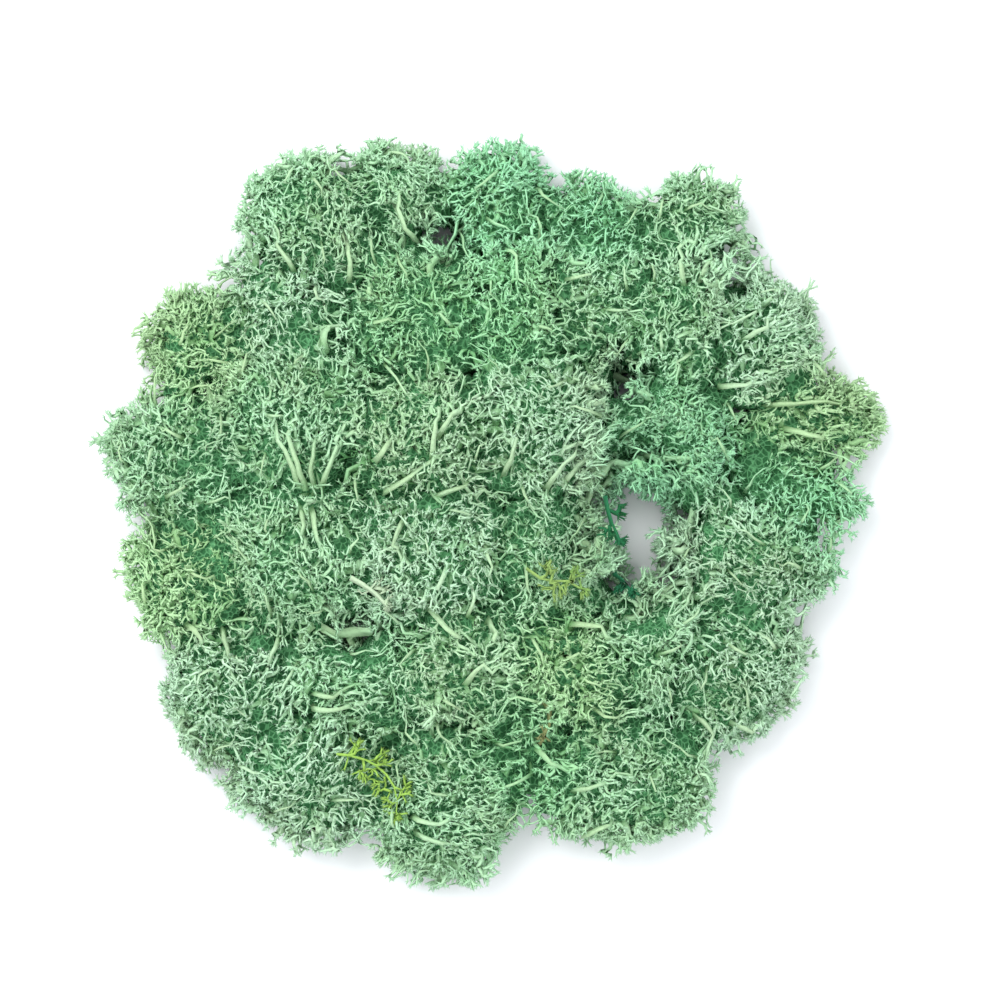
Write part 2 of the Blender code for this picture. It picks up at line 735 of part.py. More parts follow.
def main():
    clear_scene()
    tufts = [Tuft(number, name, row) for number, (name, row) in enumerate(TUFTS.items())]
    neighbour_walls(tufts)
    pile = [add_object(tuft.name, tuft_mesh(tuft), tuft.tint) for tuft in tufts]
    for name, row in SCRAPS.items():
        pile.append(make_scrap(name, row, pile))
    centre_on_origin(pile)


main()
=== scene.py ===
# %% [markdown]
# # A clump of preserved reindeer moss
#
# Reindeer moss is a lichen: a cushion of hollow stems that fork again and again and end in tiny stars.
# Florists dye it, keep it soft with glycerine and sell it by weight, pressed into loose clumps. This is
# one such clump, of thirty-four tufts and a few scraps. The solids of the part are loaded first. Each
# says where a tuft is and how far it reaches, and the looks are grown inside that room, so nothing
# changes size.

# %% Load the solids of the part
import json
import math

import bmesh
import bpy
import numpy as np
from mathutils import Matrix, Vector, noise
from mathutils.kdtree import KDTree


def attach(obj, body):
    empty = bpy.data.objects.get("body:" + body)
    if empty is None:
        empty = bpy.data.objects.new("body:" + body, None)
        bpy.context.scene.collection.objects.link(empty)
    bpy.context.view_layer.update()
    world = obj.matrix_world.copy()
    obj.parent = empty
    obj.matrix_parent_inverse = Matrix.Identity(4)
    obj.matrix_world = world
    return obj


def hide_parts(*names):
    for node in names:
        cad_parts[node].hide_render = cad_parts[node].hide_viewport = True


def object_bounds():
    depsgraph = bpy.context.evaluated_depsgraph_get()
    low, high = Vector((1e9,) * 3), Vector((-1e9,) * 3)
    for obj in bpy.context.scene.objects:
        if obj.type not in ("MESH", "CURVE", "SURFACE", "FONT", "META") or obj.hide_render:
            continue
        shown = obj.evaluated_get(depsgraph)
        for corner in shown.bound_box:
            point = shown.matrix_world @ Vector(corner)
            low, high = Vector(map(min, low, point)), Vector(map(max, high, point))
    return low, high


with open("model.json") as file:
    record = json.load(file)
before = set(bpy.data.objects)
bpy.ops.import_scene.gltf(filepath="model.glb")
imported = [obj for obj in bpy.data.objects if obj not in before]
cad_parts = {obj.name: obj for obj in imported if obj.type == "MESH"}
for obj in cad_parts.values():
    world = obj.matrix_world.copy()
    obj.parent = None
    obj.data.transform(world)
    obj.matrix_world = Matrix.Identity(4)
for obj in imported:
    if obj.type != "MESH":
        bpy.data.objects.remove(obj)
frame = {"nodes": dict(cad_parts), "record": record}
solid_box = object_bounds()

MM = 0.001
record = frame["record"]
slot_of = {part["node"]: part["material_slot"] for part in record["subparts"]}
tufts = sorted(name for name in frame["nodes"] if "_tuft_" in name)
print(len(tufts), "tufts and", len(frame["nodes"]) - len(tufts), "scraps")

# %% [markdown]
# ## The room that a tuft may fill
#
# A tuft has grown until it met its neighbours, so it is a rounded cushion with flattened sides. The
# smallest convex body round the coarse solid is that cushion. The Remesh modifier could make it too.
# The convex hull is chosen because its faces are plain planes, and it is quick to tell on which side of
# a plane a point lies.

# %% Find each tuft's room as the planes of its convex hull
SLIVER = 1e-6


class Room:
    """The convex room of one tuft, in millimetres: its corners, faces, and the planes round it."""

    def __init__(self, name):
        body = bmesh.new()
        for corner in frame["nodes"][name].data.vertices:
            body.verts.new(corner.co / MM)
        bmesh.ops.convex_hull(body, input=body.verts)
        loose = [v for v in body.verts if not v.link_faces]
        bmesh.ops.delete(body, geom=loose, context="VERTS")
        self.faces = np.array([[v.co[:] for v in face.verts] for face in body.faces])
        body.free()
        self.middle = self.faces.reshape(-1, 3).mean(axis=0)
        one_side = self.faces[:, 1] - self.faces[:, 0]
        other_side = self.faces[:, 2] - self.faces[:, 0]
        square_to = np.cross(one_side, other_side)
        self.areas = 0.5 * np.linalg.norm(square_to, axis=1)
        keep = self.areas > SLIVER
        self.faces, self.areas = self.faces[keep], self.areas[keep]
        self.normals = square_to[keep] / (2.0 * self.areas[:, None])
        outward = ((self.faces.mean(axis=1) - self.middle) * self.normals).sum(axis=1)
        self.normals[outward < 0.0] *= -1.0
        self.offsets = (self.normals * self.faces[:, 0]).sum(axis=1)
        self.low = self.faces.reshape(-1, 3).min(axis=0)
        self.high = self.faces.reshape(-1, 3).max(axis=0)


rooms = {name: Room(name) for name in tufts}

# %% [markdown]
# ## One sheet over the whole pile
#
# Tufts that were pressed together close over the grooves between them. So the height of the pile is
# read off on a fine grid, and a smooth bowl is rolled over it, which fills narrow grooves and leaves
# wide forms as they are. The Shrinkwrap modifier could lay such a sheet too, but a grid of heights is
# exact and quick to ask.

# %% Read off the heights and roll a bowl over them
CELL = 0.5
MARGIN = 3.0
UPRIGHT = 0.02
NOWHERE = 99.0
BOWL_RADIUS = 7.0
BOWL_REACH = 8.0
GROOVE_LEFT, GROOVE_MOST = 0.35, 1.3
EVEN_ROUNDS = 90

reach_x, reach_y = np.abs(np.array(solid_box) / MM).max(axis=0)[:2] + MARGIN
xs = np.arange(-reach_x, reach_x, CELL)
ys = np.arange(-reach_y, reach_y, CELL)
heights = np.zeros((len(xs), len(ys)))
for room in rooms.values():
    i0, i1 = np.searchsorted(xs, (room.low[0], room.high[0]))
    j0, j1 = np.searchsorted(ys, (room.low[1], room.high[1]))
    spots = np.stack(np.meshgrid(xs[i0:i1], ys[j0:j1], indexing="ij"), axis=-1)
    left = room.offsets - spots @ room.normals[:, :2].T
    rise = room.normals[:, 2]
    top = (left[..., rise > UPRIGHT] / rise[rise > UPRIGHT]).min(axis=-1)
    floor = (left[..., rise < -UPRIGHT] / rise[rise < -UPRIGHT]).max(axis=-1)
    between_walls = left[..., np.abs(rise) <= UPRIGHT].min(axis=-1, initial=1.0) > 0.0
    covered = (top > floor) & between_walls
    view = heights[i0:i1, j0:j1]
    view[covered] = np.maximum(view, top)[covered]

steps = int(BOWL_REACH / CELL)
bowl = [
    (i, j, (i * i + j * j) * CELL * CELL / (2.0 * BOWL_RADIUS))
    for i in range(-steps, steps + 1)
    for j in range(-steps, steps + 1)
    if i * i + j * j <= steps * steps
]


def rolled(values, sense):
    """The highest (sense 1) or lowest (sense -1) place that the bowl reaches round each cell."""
    outside = np.pad(sense * values, steps, constant_values=-sense * NOWHERE)
    best = np.full(values.shape, -np.inf)
    long, wide = values.shape
    for i, j, drop in bowl:
        view = outside[steps + i : steps + i + long, steps + j : steps + j + wide]
        np.maximum(best, view - drop, out=best)
    return sense * best


raised = rolled(np.where(heights > 0.0, heights, -NOWHERE), 1)
sheet = np.maximum(rolled(raised, -1), heights)
sheet -= np.minimum(GROOVE_LEFT * (sheet - heights), GROOVE_MOST)


def smoothed(values, rounds):
    """Heights with their small steps evened out."""
    for _ in range(rounds):
        beside = values[:-2, 1:-1] + values[2:, 1:-1] + values[1:-1, :-2] + values[1:-1, 2:]
        values = values.copy()
        values[1:-1, 1:-1] = 0.5 * values[1:-1, 1:-1] + 0.125 * beside
    return values


pile = (sheet > 0.0).astype(float)
evened = smoothed(sheet * pile, EVEN_ROUNDS) / np.maximum(smoothed(pile, EVEN_ROUNDS), 0.01)
sheet = np.where(pile > 0.0, evened, 0.0)

# %% [markdown]
# ## Holes
#
# In a few places the tufts stand apart, and the table or a dark pit shows. A boolean cut would leave
# clean walls, which no lichen has. So only the sheet is cut, and branches grow on the walls too. The
# same cell works out how far inland every place lies, to keep the old growth, whose dark green is
# painted shade, away from the air.

# %% Keep the holes open
# Each hole is an ellipse: its middle, its two half widths, how high the pile is at its edge, and how
# steeply it rises from there. A low edge lets light fall in.
HOLES = [
    (33.0, -4.5, 4.6, 9.5, 7.0, 1.3),
    (-13.0, 63.0, 2.4, 1.6, 12.0, 2.5),
    (30.0, 29.0, 1.2, 2.3, 14.0, 2.6),
    (-33.0, -28.5, 2.2, 1.0, 14.0, 2.6),
    (54.5, 57.0, 1.2, 1.8, 12.0, 2.5),
]


def hole_gaps(points):
    """How far points lie from the edge of each hole in plan. It is negative inside a hole."""
    gaps = []
    for x, y, half_x, half_y, _, _ in HOLES:
        off_x, off_y = points[..., 0] - x, points[..., 1] - y
        ratio = np.maximum(np.hypot(off_x / half_x, off_y / half_y), 1e-3)
        gaps.append(np.hypot(off_x, off_y) * (1.0 - 1.0 / ratio))
    return np.array(gaps)


plan = np.stack(np.meshgrid(xs, ys, indexing="ij"), axis=-1)
gaps = hole_gaps(plan)
for hole, gap in zip(HOLES, gaps):
    sheet = np.minimum(sheet, hole[4] + hole[5] * np.maximum(gap, 0.0))
    sheet[gap < 0.0] = 0.0
small_hole = gaps[1:].min(axis=0) < 0.0
farthest = BOWL_REACH**2 / (2.0 * BOWL_RADIUS)
from_edge = -rolled(np.where((sheet > 0.0) | small_hole, -NOWHERE, 0.0), 1)
inland = np.sqrt(2.0 * BOWL_RADIUS * np.clip(from_edge, 0.0, farthest))


def read_off(grid, points):
    """The values of a grid over or under points."""
    i = np.clip(np.round((points[..., 0] - xs[0]) / CELL).astype(int), 0, len(xs) - 1)
    j = np.clip(np.round((points[..., 1] - ys[0]) / CELL).astype(int), 0, len(ys) - 1)
    return grid[i, j]


def sheet_at(points):
    """The height of the sheet over or under points."""
    return read_off(sheet, points)


# %% [markdown]
# ## Where the lichen shows
#
# Branch ends fill the sheet over the pile, the walls of the holes, and the sides and undersides that
# meet the air. A scatter in Geometry Nodes could place them. A seeded rule is used instead, because
# each place becomes the end of a real branch. Points are strewn thickly and taken one by one, each
# clearing the points round it, which gives even but not regular places.

# %% Strew places over the open skin of the pile
TRIAL_POINTS = 3.0
LOWEST_TOP = 3.0
STEEPEST = 3.0
SMOOTH_ROUNDS = 60
SIDE_RISE, UNDER_RISE = 0.45, -0.75
SIDE_PROBE, PILE_PROBE, OFF_PILE = 3.0, 11.0, 1.0
WALL_FOOT, WALL_TILT = 1.5, 0.35
WALL_BEHIND, WALL_UNDER = 1.5, 1.0
draw = np.random.default_rng(20)
# Blender's noise is seeded too, or its vectors would change with the clock.
noise.seed_set(20)


def unit(v):
    return v / np.maximum(np.linalg.norm(v, axis=-1, keepdims=True), 1e-9)


def top_skin():
    """Points on the sheet, and the way that each faces."""
    steep = np.hypot(*np.gradient(sheet, CELL))
    slope_x, slope_y = np.gradient(smoothed(sheet, SMOOTH_ROUNDS), CELL)
    inside = (sheet > LOWEST_TOP) & (steep < STEEPEST)
    expected = TRIAL_POINTS * CELL * CELL * np.sqrt(1.0 + slope_x**2 + slope_y**2) * inside
    counts = np.floor(expected + draw.random(expected.shape)).astype(int)
    i, j = np.repeat(np.argwhere(counts > 0), counts[counts > 0], axis=0).T
    off_x, off_y = draw.uniform(-0.5 * CELL, 0.5 * CELL, (2, len(i)))
    points = np.stack([xs[i] + off_x, ys[j] + off_y, sheet[i, j]], axis=1)
    ways = unit(np.stack([-slope_x[i, j], -slope_y[i, j], np.ones(len(i))], axis=1))
    return points, ways


def side_skin(room):
    """Points on the sides and underside of one room that meet the air, and the way that each faces."""
    share = room.areas * TRIAL_POINTS
    counts = np.floor(share + draw.random(len(share))).astype(int)
    which = np.repeat(np.arange(len(counts)), counts)
    u, v = draw.random((2, len(which), 1))
    flip = u + v > 1.0
    u, v = np.where(flip, 1.0 - u, u), np.where(flip, 1.0 - v, v)
    corner = room.faces[which]
    points = corner[:, 0] + u * (corner[:, 1] - corner[:, 0]) + v * (corner[:, 2] - corner[:, 0])
    ways = room.normals[which]
    low = ways[:, 2] < SIDE_RISE
    points, ways = points[low], ways[low]
    level = unit(ways * (1.0, 1.0, 0.0))
    open_near = sheet_at(points + level * SIDE_PROBE) < points[:, 2]
    open_far = sheet_at(points + level * PILE_PROBE) < OFF_PILE
    free = open_near | open_far | (ways[:, 2] < UNDER_RISE)
    return points[free], ways[free]


def wall_skin(hole):
    """Points on the walls of one hole, and the way that each faces."""
    x, y, half_x, half_y, _, _ = hole
    around = math.tau * math.hypot(half_x, half_y) / math.sqrt(2.0)
    turn = draw.uniform(0.0, math.tau, int(TRIAL_POINTS * around * sheet.max()))
    points = np.stack([x + half_x * np.cos(turn), y + half_y * np.sin(turn), 0.0 * turn], axis=1)
    points[:, 2] = draw.uniform(WALL_FOOT, sheet.max(), len(turn))
    ways = unit(np.stack([-np.cos(turn) / half_x, -np.sin(turn) / half_y, 0.0 * turn], axis=1))
    standing = sheet_at(points - WALL_BEHIND * ways) - WALL_UNDER > points[:, 2]
    return points[standing], unit(ways + (0.0, 0.0, WALL_TILT))[standing]


def nearest_room(points):
    """The number of the tuft that each point belongs to."""
    apart = [(points @ rooms[name].normals.T - rooms[name].offsets).max(axis=1) for name in tufts]
    return np.argmin(apart, axis=0)


parts = [top_skin()]
parts += [side_skin(rooms[name]) for name in tufts]
parts += [wall_skin(hole) for hole in HOLES]
top_count = len(parts[0][0])
skin_points = np.concatenate([points for points, _ in parts])
skin_ways = np.concatenate([ways for _, ways in parts])

# Neighbours reach over their border here and there, so each point asks for its tuft a little way off.
BORDER_SIZE, BORDER_SHIFT = 6.0, 7.0
shift = np.array([noise.noise_vector(Vector(point / BORDER_SIZE)) for point in skin_points])
shift *= np.clip(hole_gaps(skin_points).min(axis=0) / BORDER_SHIFT, 0.0, 1.0)[:, None]
owner = nearest_room(skin_points + BORDER_SHIFT * shift)


def tree_over(points):
    tree = KDTree(len(points))
    for i, point in enumerate(points):
        tree.insert(point, i)
    tree.balance()
    return tree


def spaced(candidates, spacing):
    """Picks places on the skin that keep their distance from each other."""
    tree = tree_over(skin_points[candidates])
    free = np.ones(len(candidates), bool)
    picked = []
    for i in draw.permutation(len(candidates)):
        if free[i]:
            picked.append(candidates[i])
            for _, j, _ in tree.find_range(skin_points[candidates[i]], spacing):
                free[j] = False
    return np.array(picked)


# %% [markdown]
# ## Which way the branches lie
#
# In the cushion all branches would stand up. Packing has pressed them sideways, so on the photo they
# lie in strands, one strand this way and the next another. A smooth field of directions says which way.
# Blender's noise gives one. A hand-painted field would do too, but it would have to be painted anew for
# each clump.

# %% A smooth field of directions along the skin
STRAND_SIZE, CURL_SIZE = 10.0, 4.0
STRAND_PULL, CURL_PULL = 2.4, 0.9


def lie_of(point, out):
    """The way that the branches lie at a place: along the skin, and at most 1 long."""
    strand = noise.noise_vector(Vector(point / STRAND_SIZE))
    curl = noise.noise_vector(Vector(point / CURL_SIZE))
    way = STRAND_PULL * np.array(strand) + CURL_PULL * np.array(curl)
    way -= (way @ out) * out
    return way / max(1.0, math.sqrt(way @ way))


# %% [markdown]
# ## Branch ends in sprays
#
# The ends come in sprays, three or four on one twig, with room between them in which the twigs show.
# Gaps in the outer layer show a second layer, and then single ends. Some sprays stand proud and others
# sink in, set by smooth noise of two sizes. At the rim some stand out from the skin, because no clump
# has a clean edge. Sculpting could set these depths by hand, but not for thousands of sprays.

# %% Choose the places of the sprays
# Each layer: the distance between sprays, the least and most depth of one, and how many ends it has.
LAYERS = [(2.35, 0.0, 0.9, 4), (2.7, 1.9, 3.8, 3), (2.1, 3.9, 6.0, 1)]
FOOT_LAYER = (2.7, 0.0, 1.2, 3)
BOTTOM_LAYER = (3.4, 0.0, 0.3, 1)
FOOT_RISE, BOTTOM_RISE, RIM_RISE = -0.3, -0.8, 0.5
HUMP_SIZE, HUMP_DEPTH, HUMP_SHARE = 9.0, 2.3, 0.35
PIT_SIZE, PIT_DEPTH = 4.2, 3.2
PIT_PLACE = Vector((7.0, 3.0, 1.0))
RAGGED_SIZE, RAGGED_OUT = 3.5, 6.0


def relief(point, way):
    """How far a spray sinks under the skin, in millimetres. At the rim some stand out from it."""
    hump = noise.noise(Vector(point / HUMP_SIZE))
    pit = noise.noise(Vector(point / PIT_SIZE) + PIT_PLACE)
    ragged = noise.noise(Vector(point / RAGGED_SIZE)) * (abs(way[2]) < RIM_RISE)
    depth = max(0.0, HUMP_SHARE + hump) * HUMP_DEPTH + max(0.0, pit) * PIT_DEPTH
    return depth - max(0.0, ragged) * RAGGED_OUT


rise = skin_ways[:, 2]
bottom, up_side = rise < BOTTOM_RISE, rise > FOOT_RISE
plans = [(bottom, BOTTOM_LAYER), (~bottom & ~up_side, FOOT_LAYER)]
plans += [(up_side, layer) for layer in LAYERS]
layers = [(spaced(np.flatnonzero(where), layer[0]), *layer[1:]) for where, layer in plans]

# %% [markdown]
# ## The ends of one spray
#
# The last forks of a branch bear one end in the middle and others in a ring round it, all leaning
# outwards. An array could copy one such spray. Here the turn and reach of each end are drawn afresh, so
# no two are alike.

# %% Spread each spray into its branch ends
SPRAY_RADIUS, SPRAY_DROP = 1.15, 0.35
REACH_SHARES, MIDDLE_SHARE = (0.6, 1.15), 0.2
TIP_OUT, TIP_ALONG, TIP_ROUND, TIP_STRAY = 0.6, 0.6, 0.9, 0.3
TIP_REACH, OFF_MIDDLE = 1.0, 0.4


def across(ways):
    """Two directions square to each given one and to each other."""
    helper = np.where(np.abs(ways[:, 2:3]) < 0.8, [[0.0, 0.0, 1.0]], [[1.0, 0.0, 0.0]])
    first = unit(np.cross(ways, helper))
    return first, np.cross(ways, first)


def spray(picked, least, most, count):
    """The branch ends of one layer: their points and ways, and what is known of the skin over each."""
    number = np.repeat(picked, count)
    out = skin_ways[number]
    first, second = across(out)
    turn = np.repeat(draw.uniform(0.0, math.tau, len(picked)), count)
    turn += np.tile(np.arange(count) * math.tau / max(count - 1, 1), len(picked))
    reach = SPRAY_RADIUS * draw.uniform(*REACH_SHARES, len(number)) * (count > 1)
    reach[::count] *= MIDDLE_SHARE
    sideways = first * np.cos(turn)[:, None] + second * np.sin(turn)[:, None]
    sink = draw.uniform(least, most, len(picked))
    sink += [relief(skin_points[i], skin_ways[i]) for i in picked]
    sink = np.repeat(sink, count)
    sink += TIP_REACH + SPRAY_DROP * reach**2
    points = skin_points[number] - out * sink[:, None] + sideways * reach[:, None]
    lies = np.repeat([lie_of(skin_points[i], skin_ways[i]) for i in picked], count, axis=0)
    stray = draw.normal(0.0, TIP_STRAY, points.shape)
    rounded = TIP_ROUND * sideways * (reach[:, None] > OFF_MIDDLE)
    ways = unit(TIP_OUT * out + TIP_ALONG * lies + rounded + stray)
    return points, ways, out, lies, number


sprays = [spray(*layer) for layer in layers]
end_points, end_ways, end_outs, end_lies, places = map(np.concatenate, zip(*sprays))
end_points[:, 2] = np.maximum(end_points[:, 2], TIP_REACH)
end_owner = owner[places]
print(len(end_points), "branch ends")

# %% [markdown]
# ## Bare stems
#
# Here and there a tuft lies on its side and shows its old stems: long, pale, as thick as a match at the
# foot, in bundles that fan out. A curve with a bevel would draw one, but here it has to join the
# branching of its tuft. The most striking stems are laid where they are seen, and finer ones are strewn
# over the rest.

# %% Lay the bare stems on the pile
# Each stem: where its foot, its middle and its end lie in plan, as x and y of each.
BARE_STEMS = [
    (-44.5, 5, -49, 17.5, -52.5, 27), (-43.5, 5, -46.5, 16.5, -47, 28.5),
    (-42, 5.2, -41.5, 15, -38.5, 26), (-40, 5.5, -37, 13, -32.5, 20),
    (-44.8, 1.5, -43.5, -4, -41.5, -9.5), (-42, 1, -41, -5, -39.5, -12),
    (-25.5, 4.5, -17.5, 9.5, -13, 15.5), (-14.5, 12.5, -13.5, 20, -12, 26.5),
    (-13.5, 17, -9.5, 23.5, -7, 29.5), (-27.5, 12, -24.5, 16.5, -24, 22),
    (11.5, 6, 16, 12, 21.5, 18), (15.5, 6, 19, 11, 23.5, 14.5),
    (1.5, 8.5, 4, 15, 3, 22), (-14, 3.5, -7, 6, -1.5, 4.5),
    (-11, -11.5, -13.5, -17.5, -14.5, -20.5), (-21, -1, -23.5, -7.5, -24, -13.5),
    (-15, -22.5, -7.5, -29, -1, -33), (-7, -39, -3, -34.5, 3.5, -33),
    (-1.5, -24, -0.5, -30, -4.5, -38.5), (17, -25.5, 24, -26, 29.5, -29.5),
    (33, 11.5, 37.5, 9.5, 42, 6.5), (34, 13, 39.5, 12, 45, 9),
    (-71, -25.5, -66.5, -29, -62, -31.5), (-63, -26.5, -61, -32, -57.5, -37),
    (-50, -28, -52, -33.5, -56, -37), (-41.5, -41.5, -36, -42, -30, -41.5),
    (-42, -44.5, -36, -45, -29, -44), (9.5, -54, 13, -58, 17.5, -60),
    (20, -75, 25.5, -71.5, 30.5, -68), (17.5, -64, 23, -62.5, 30, -63.5),
    (45.5, -46.5, 50, -51, 52, -57), (54, -48.5, 60, -51, 62, -56),
    (51, 29, 58, 29.5, 65, 31.5), (56, 39.5, 63, 43, 69.5, 46),
    (62, 25, 71.5, 25.5, 81, 26.5), (66, 19.5, 75, 17.5, 84, 17),
    (43, 52.5, 42, 57.5, 41.5, 63.5), (46.5, 53.5, 49.5, 58, 53.5, 60.5),
    (-19, -69.5, -13, -71, -5.5, -70), (-18.5, -73, -12, -75.5, -5, -75.5),
    (-33.5, 53, -33.5, 59.5, -35.5, 66), (-46, 56, -50, 61.5, -52.5, 66.5),
    (-18, 62.5, -21.5, 66, -24.5, 71.5),
]
STEM_STEP, STEM_WOBBLE = 2.0, 0.14
STEM_FOOT, STEM_END = 0.85, 0.62
STEM_SUNK = 0.9
FOOT_SUNK, FOOT_STEEP = 5.0, 5.0
BARE_SHARE = 0.34
OWNER_UNDER = np.array([0.0, 0.0, 3.0])


class Stem:
    """A bare stem: the points it passes, its thickness at each, and the branch ends that it carries."""

    def __init__(self, route, size=1.0):
        foot, middle, end = np.reshape(route, (3, 2))
        length = np.linalg.norm(middle - foot) + np.linalg.norm(end - middle)
        t = np.linspace(0.0, 1.0, max(4, int(length / STEM_STEP) + 1))[:, None]
        bend = 2.0 * middle - 0.5 * (foot + end)
        plan = (1 - t) ** 2 * foot + 2 * t * (1 - t) * bend + t**2 * end
        plan = plan + draw.normal(0.0, STEM_WOBBLE, plan.shape)
        self.share = t[:, 0]
        self.points = np.column_stack([plan, np.zeros(len(plan))])
        sunk = STEM_SUNK + FOOT_SUNK * np.clip(1.0 - FOOT_STEEP * self.share, 0.0, 1.0)
        self.points[:, 2] = sheet_at(self.points) - sunk
        self.radii = size * (STEM_FOOT + (STEM_END - STEM_FOOT) * self.share / BARE_SHARE)
        self.size = size
        self.bare = int(np.searchsorted(self.share, BARE_SHARE)) + 1
        self.way = unit(self.points[-1] - self.points[self.bare - 1])
        self.owner = int(nearest_room(self.points[:1] - OWNER_UNDER)[0])
        self.group = []


FINE_TRIES = 2000
FINE_PULL = 0.45
FINE_LENGTH, FINE_BEND = (6.0, 11.0), 0.09
FINE_SIZE = (0.45, 0.7)
FINE_APART = 4.2
FINE_INLAND, FINE_LOWEST, FINE_SLOPE = 4.0, 9.0, 0.7


def strewn_stems():
    """Finer stems all over the pile, each along the way that the branches lie there."""
    taken = np.array(BARE_STEMS).reshape(-1, 2)
    found = []
    for i in draw.choice(top_count, FINE_TRIES, replace=False):
        foot = skin_points[i]
        lie = lie_of(foot, skin_ways[i])[:2]
        long = draw.uniform(*FINE_LENGTH)
        pull = math.sqrt(lie @ lie)
        if pull < FINE_PULL:
            continue
        end = foot[:2] + lie / pull * long
        middle = 0.5 * (foot[:2] + end) + draw.normal(0.0, FINE_BEND, 2) * long
        spots = np.array([foot[:2], middle, end])
        tall = sheet_at(np.column_stack([spots, np.zeros(3)]))
        free = np.linalg.norm(spots[:, None] - taken, axis=2).min() > FINE_APART
        high = tall.min() > FINE_LOWEST and read_off(inland, spots).min() > FINE_INLAND
        if free and high and np.ptp(tall) < FINE_SLOPE * long:
            found.append(Stem(spots, draw.uniform(*FINE_SIZE)))
            taken = np.vstack([taken, spots])
    return found


stems = [Stem(route) for route in BARE_STEMS]
stems += strewn_stems()
stem_points = np.concatenate([stem.points for stem in stems])
stem_share = np.concatenate([stem.share for stem in stems])
stem_size = np.concatenate([np.full(len(stem.points), stem.size) for stem in stems])
stem_of = np.repeat(np.arange(len(stems)), [len(stem.points) for stem in stems])

# %% [markdown]
# ## The branches of a bare stem
#
# A stem is bare at its foot and then breaks up into many branches. So the ends beside its upper part
# and ahead of its top are given to it, and ends that would hide its bare part are left out. They could
# be chosen by painting weights, but that would have to be done again after each change.

# %% Give each stem the branch ends round its upper part, and clear those that would hide it
ROWS_AT_ONCE = 4000
HIGHEST_OVER, LOWEST_UNDER = 4.0, 6.0
CLEAR_BESIDE, CLEAR_MORE, CLEAR_OVER = 1.3, 0.15, -1.2
REACH_BESIDE, REACH_AHEAD, REACH_DOWN = 3.8, 7.0, 3.0
STEM_TOP, STEM_LEAD = 0.95, 0.8

near = np.empty(len(end_points), int)
gap = np.empty(len(end_points))
for row in range(0, len(end_points), ROWS_AT_ONCE):
    some = end_points[row : row + ROWS_AT_ONCE]
    apart = np.linalg.norm(some[:, None, :2] - stem_points[None, :, :2], axis=2) / stem_size
    height = stem_points[None, :, 2] - some[:, None, 2]
    apart[(height > LOWEST_UNDER) | (height < -HIGHEST_OVER)] = NOWHERE
    near[row : row + ROWS_AT_ONCE] = np.argmin(apart, axis=1)
    gap[row : row + ROWS_AT_ONCE] = apart.min(axis=1)
along = stem_share[near]
high = end_points[:, 2] - stem_points[near, 2]
hiding = (gap < CLEAR_BESIDE) & (along < BARE_SHARE + CLEAR_MORE) & (high > CLEAR_OVER)
carried = (along > BARE_SHARE) & (gap < REACH_BESIDE)
carried |= (along > STEM_TOP) & (gap < REACH_AHEAD)
carried &= ~hiding & (high > -REACH_DOWN)
for i in np.flatnonzero(carried):
    stem = stems[stem_of[near[i]]]
    stem.group.append(i)
    end_lies[i] = stem.way
end_ways[carried] = unit(end_ways[carried] + STEM_LEAD * end_lies[carried])
end_owner[carried | hiding] = -1

# %% [markdown]
# ## From the ends back to the root
#
# A real branch forks from its root outwards. Working backwards is easier: take all the ends of a tuft,
# split them into two halves, split those again, and put a fork below each group. A wide group gets a
# deep fork and a narrow one a shallow fork, so the forks open wide, as in this lichen. Groups are
# longer along the way that the branches lie, and the fork lies back that way, so the branches run in
# strands. A tree maker such as the Sapling add-on grows from the root, but then the ends do not land in
# their places.

# %% Work out the forks of a tuft
FORK_DEPTH, LEAST_DEPTH, MOST_DEPTH = 0.5, 0.4, 0.92
DEEP_FORK = 6.0
LIE_BACK = 1.3
STRAND_LENGTH = 0.6
WANDER, MOST_WANDER = 0.25, 2.0
LONG_STRETCH, BEND, MOST_BENT = 1.5, 0.14, 6.0
UNEVEN_FROM, UNEVEN_PART = 6, 8
LEAST_HEIGHT = 0.8
HOLE_RIM = 1.1


class Plant:
    """A branching: its points, what each grows from, how many ends it feeds, and where each looks."""

    def __init__(self):
        self.points = []
        self.parents = []
        self.loads = []
        self.ways = []
        self.radii = []

    def put(self, point, parent, load, way, radius=0.0):
        self.points.append(point)
        self.parents.append(parent)
        self.loads.append(load)
        self.ways.append(way)
        self.radii.append(radius)
        return len(self.points) - 1

    def add(self, point, parent, load, way):
        """Adds a point. A long stretch before it gets a bend halfway."""
        if parent > 0:
            stretch = point - self.points[parent]
            length = math.sqrt(stretch @ stretch)
            if length > LONG_STRETCH:
                bend = draw.normal(0.0, BEND, 3) * min(length, MOST_BENT)
                halfway = 0.5 * (point + self.points[parent])
                parent = self.put(halfway + bend, parent, load, way)
        return self.put(point, parent, load, way)


def halves(spots, lie):
    """Splits places into two groups across their longest direction, leaving strands whole."""
    off = spots - spots.mean(axis=0)
    off = off - (1.0 - STRAND_LENGTH) * (off @ lie)[:, None] * lie
    if len(spots) < 4:
        axis = off[np.argmax((off * off).sum(axis=1))]
    else:
        axis = np.linalg.eigh(off.T @ off)[1][:, 2]
    order = np.argsort(off @ axis)
    cut = len(order) // 2
    if len(order) > UNEVEN_FROM:
        cut += int(draw.integers(-len(order) // UNEVEN_PART, len(order) // UNEVEN_PART + 1))
    return order[:cut], order[cut:]


def out_of_holes(spot):
    """Moves a place in plan to the edge of the hole that it lies in."""
    for x, y, half_x, half_y, _, _ in HOLES:
        ratio = math.hypot((spot[0] - x) / half_x, (spot[1] - y) / half_y)
        if 0.01 < ratio < HOLE_RIM:
            return np.array([x, y]) + (spot - (x, y)) * HOLE_RIM / ratio
    return spot


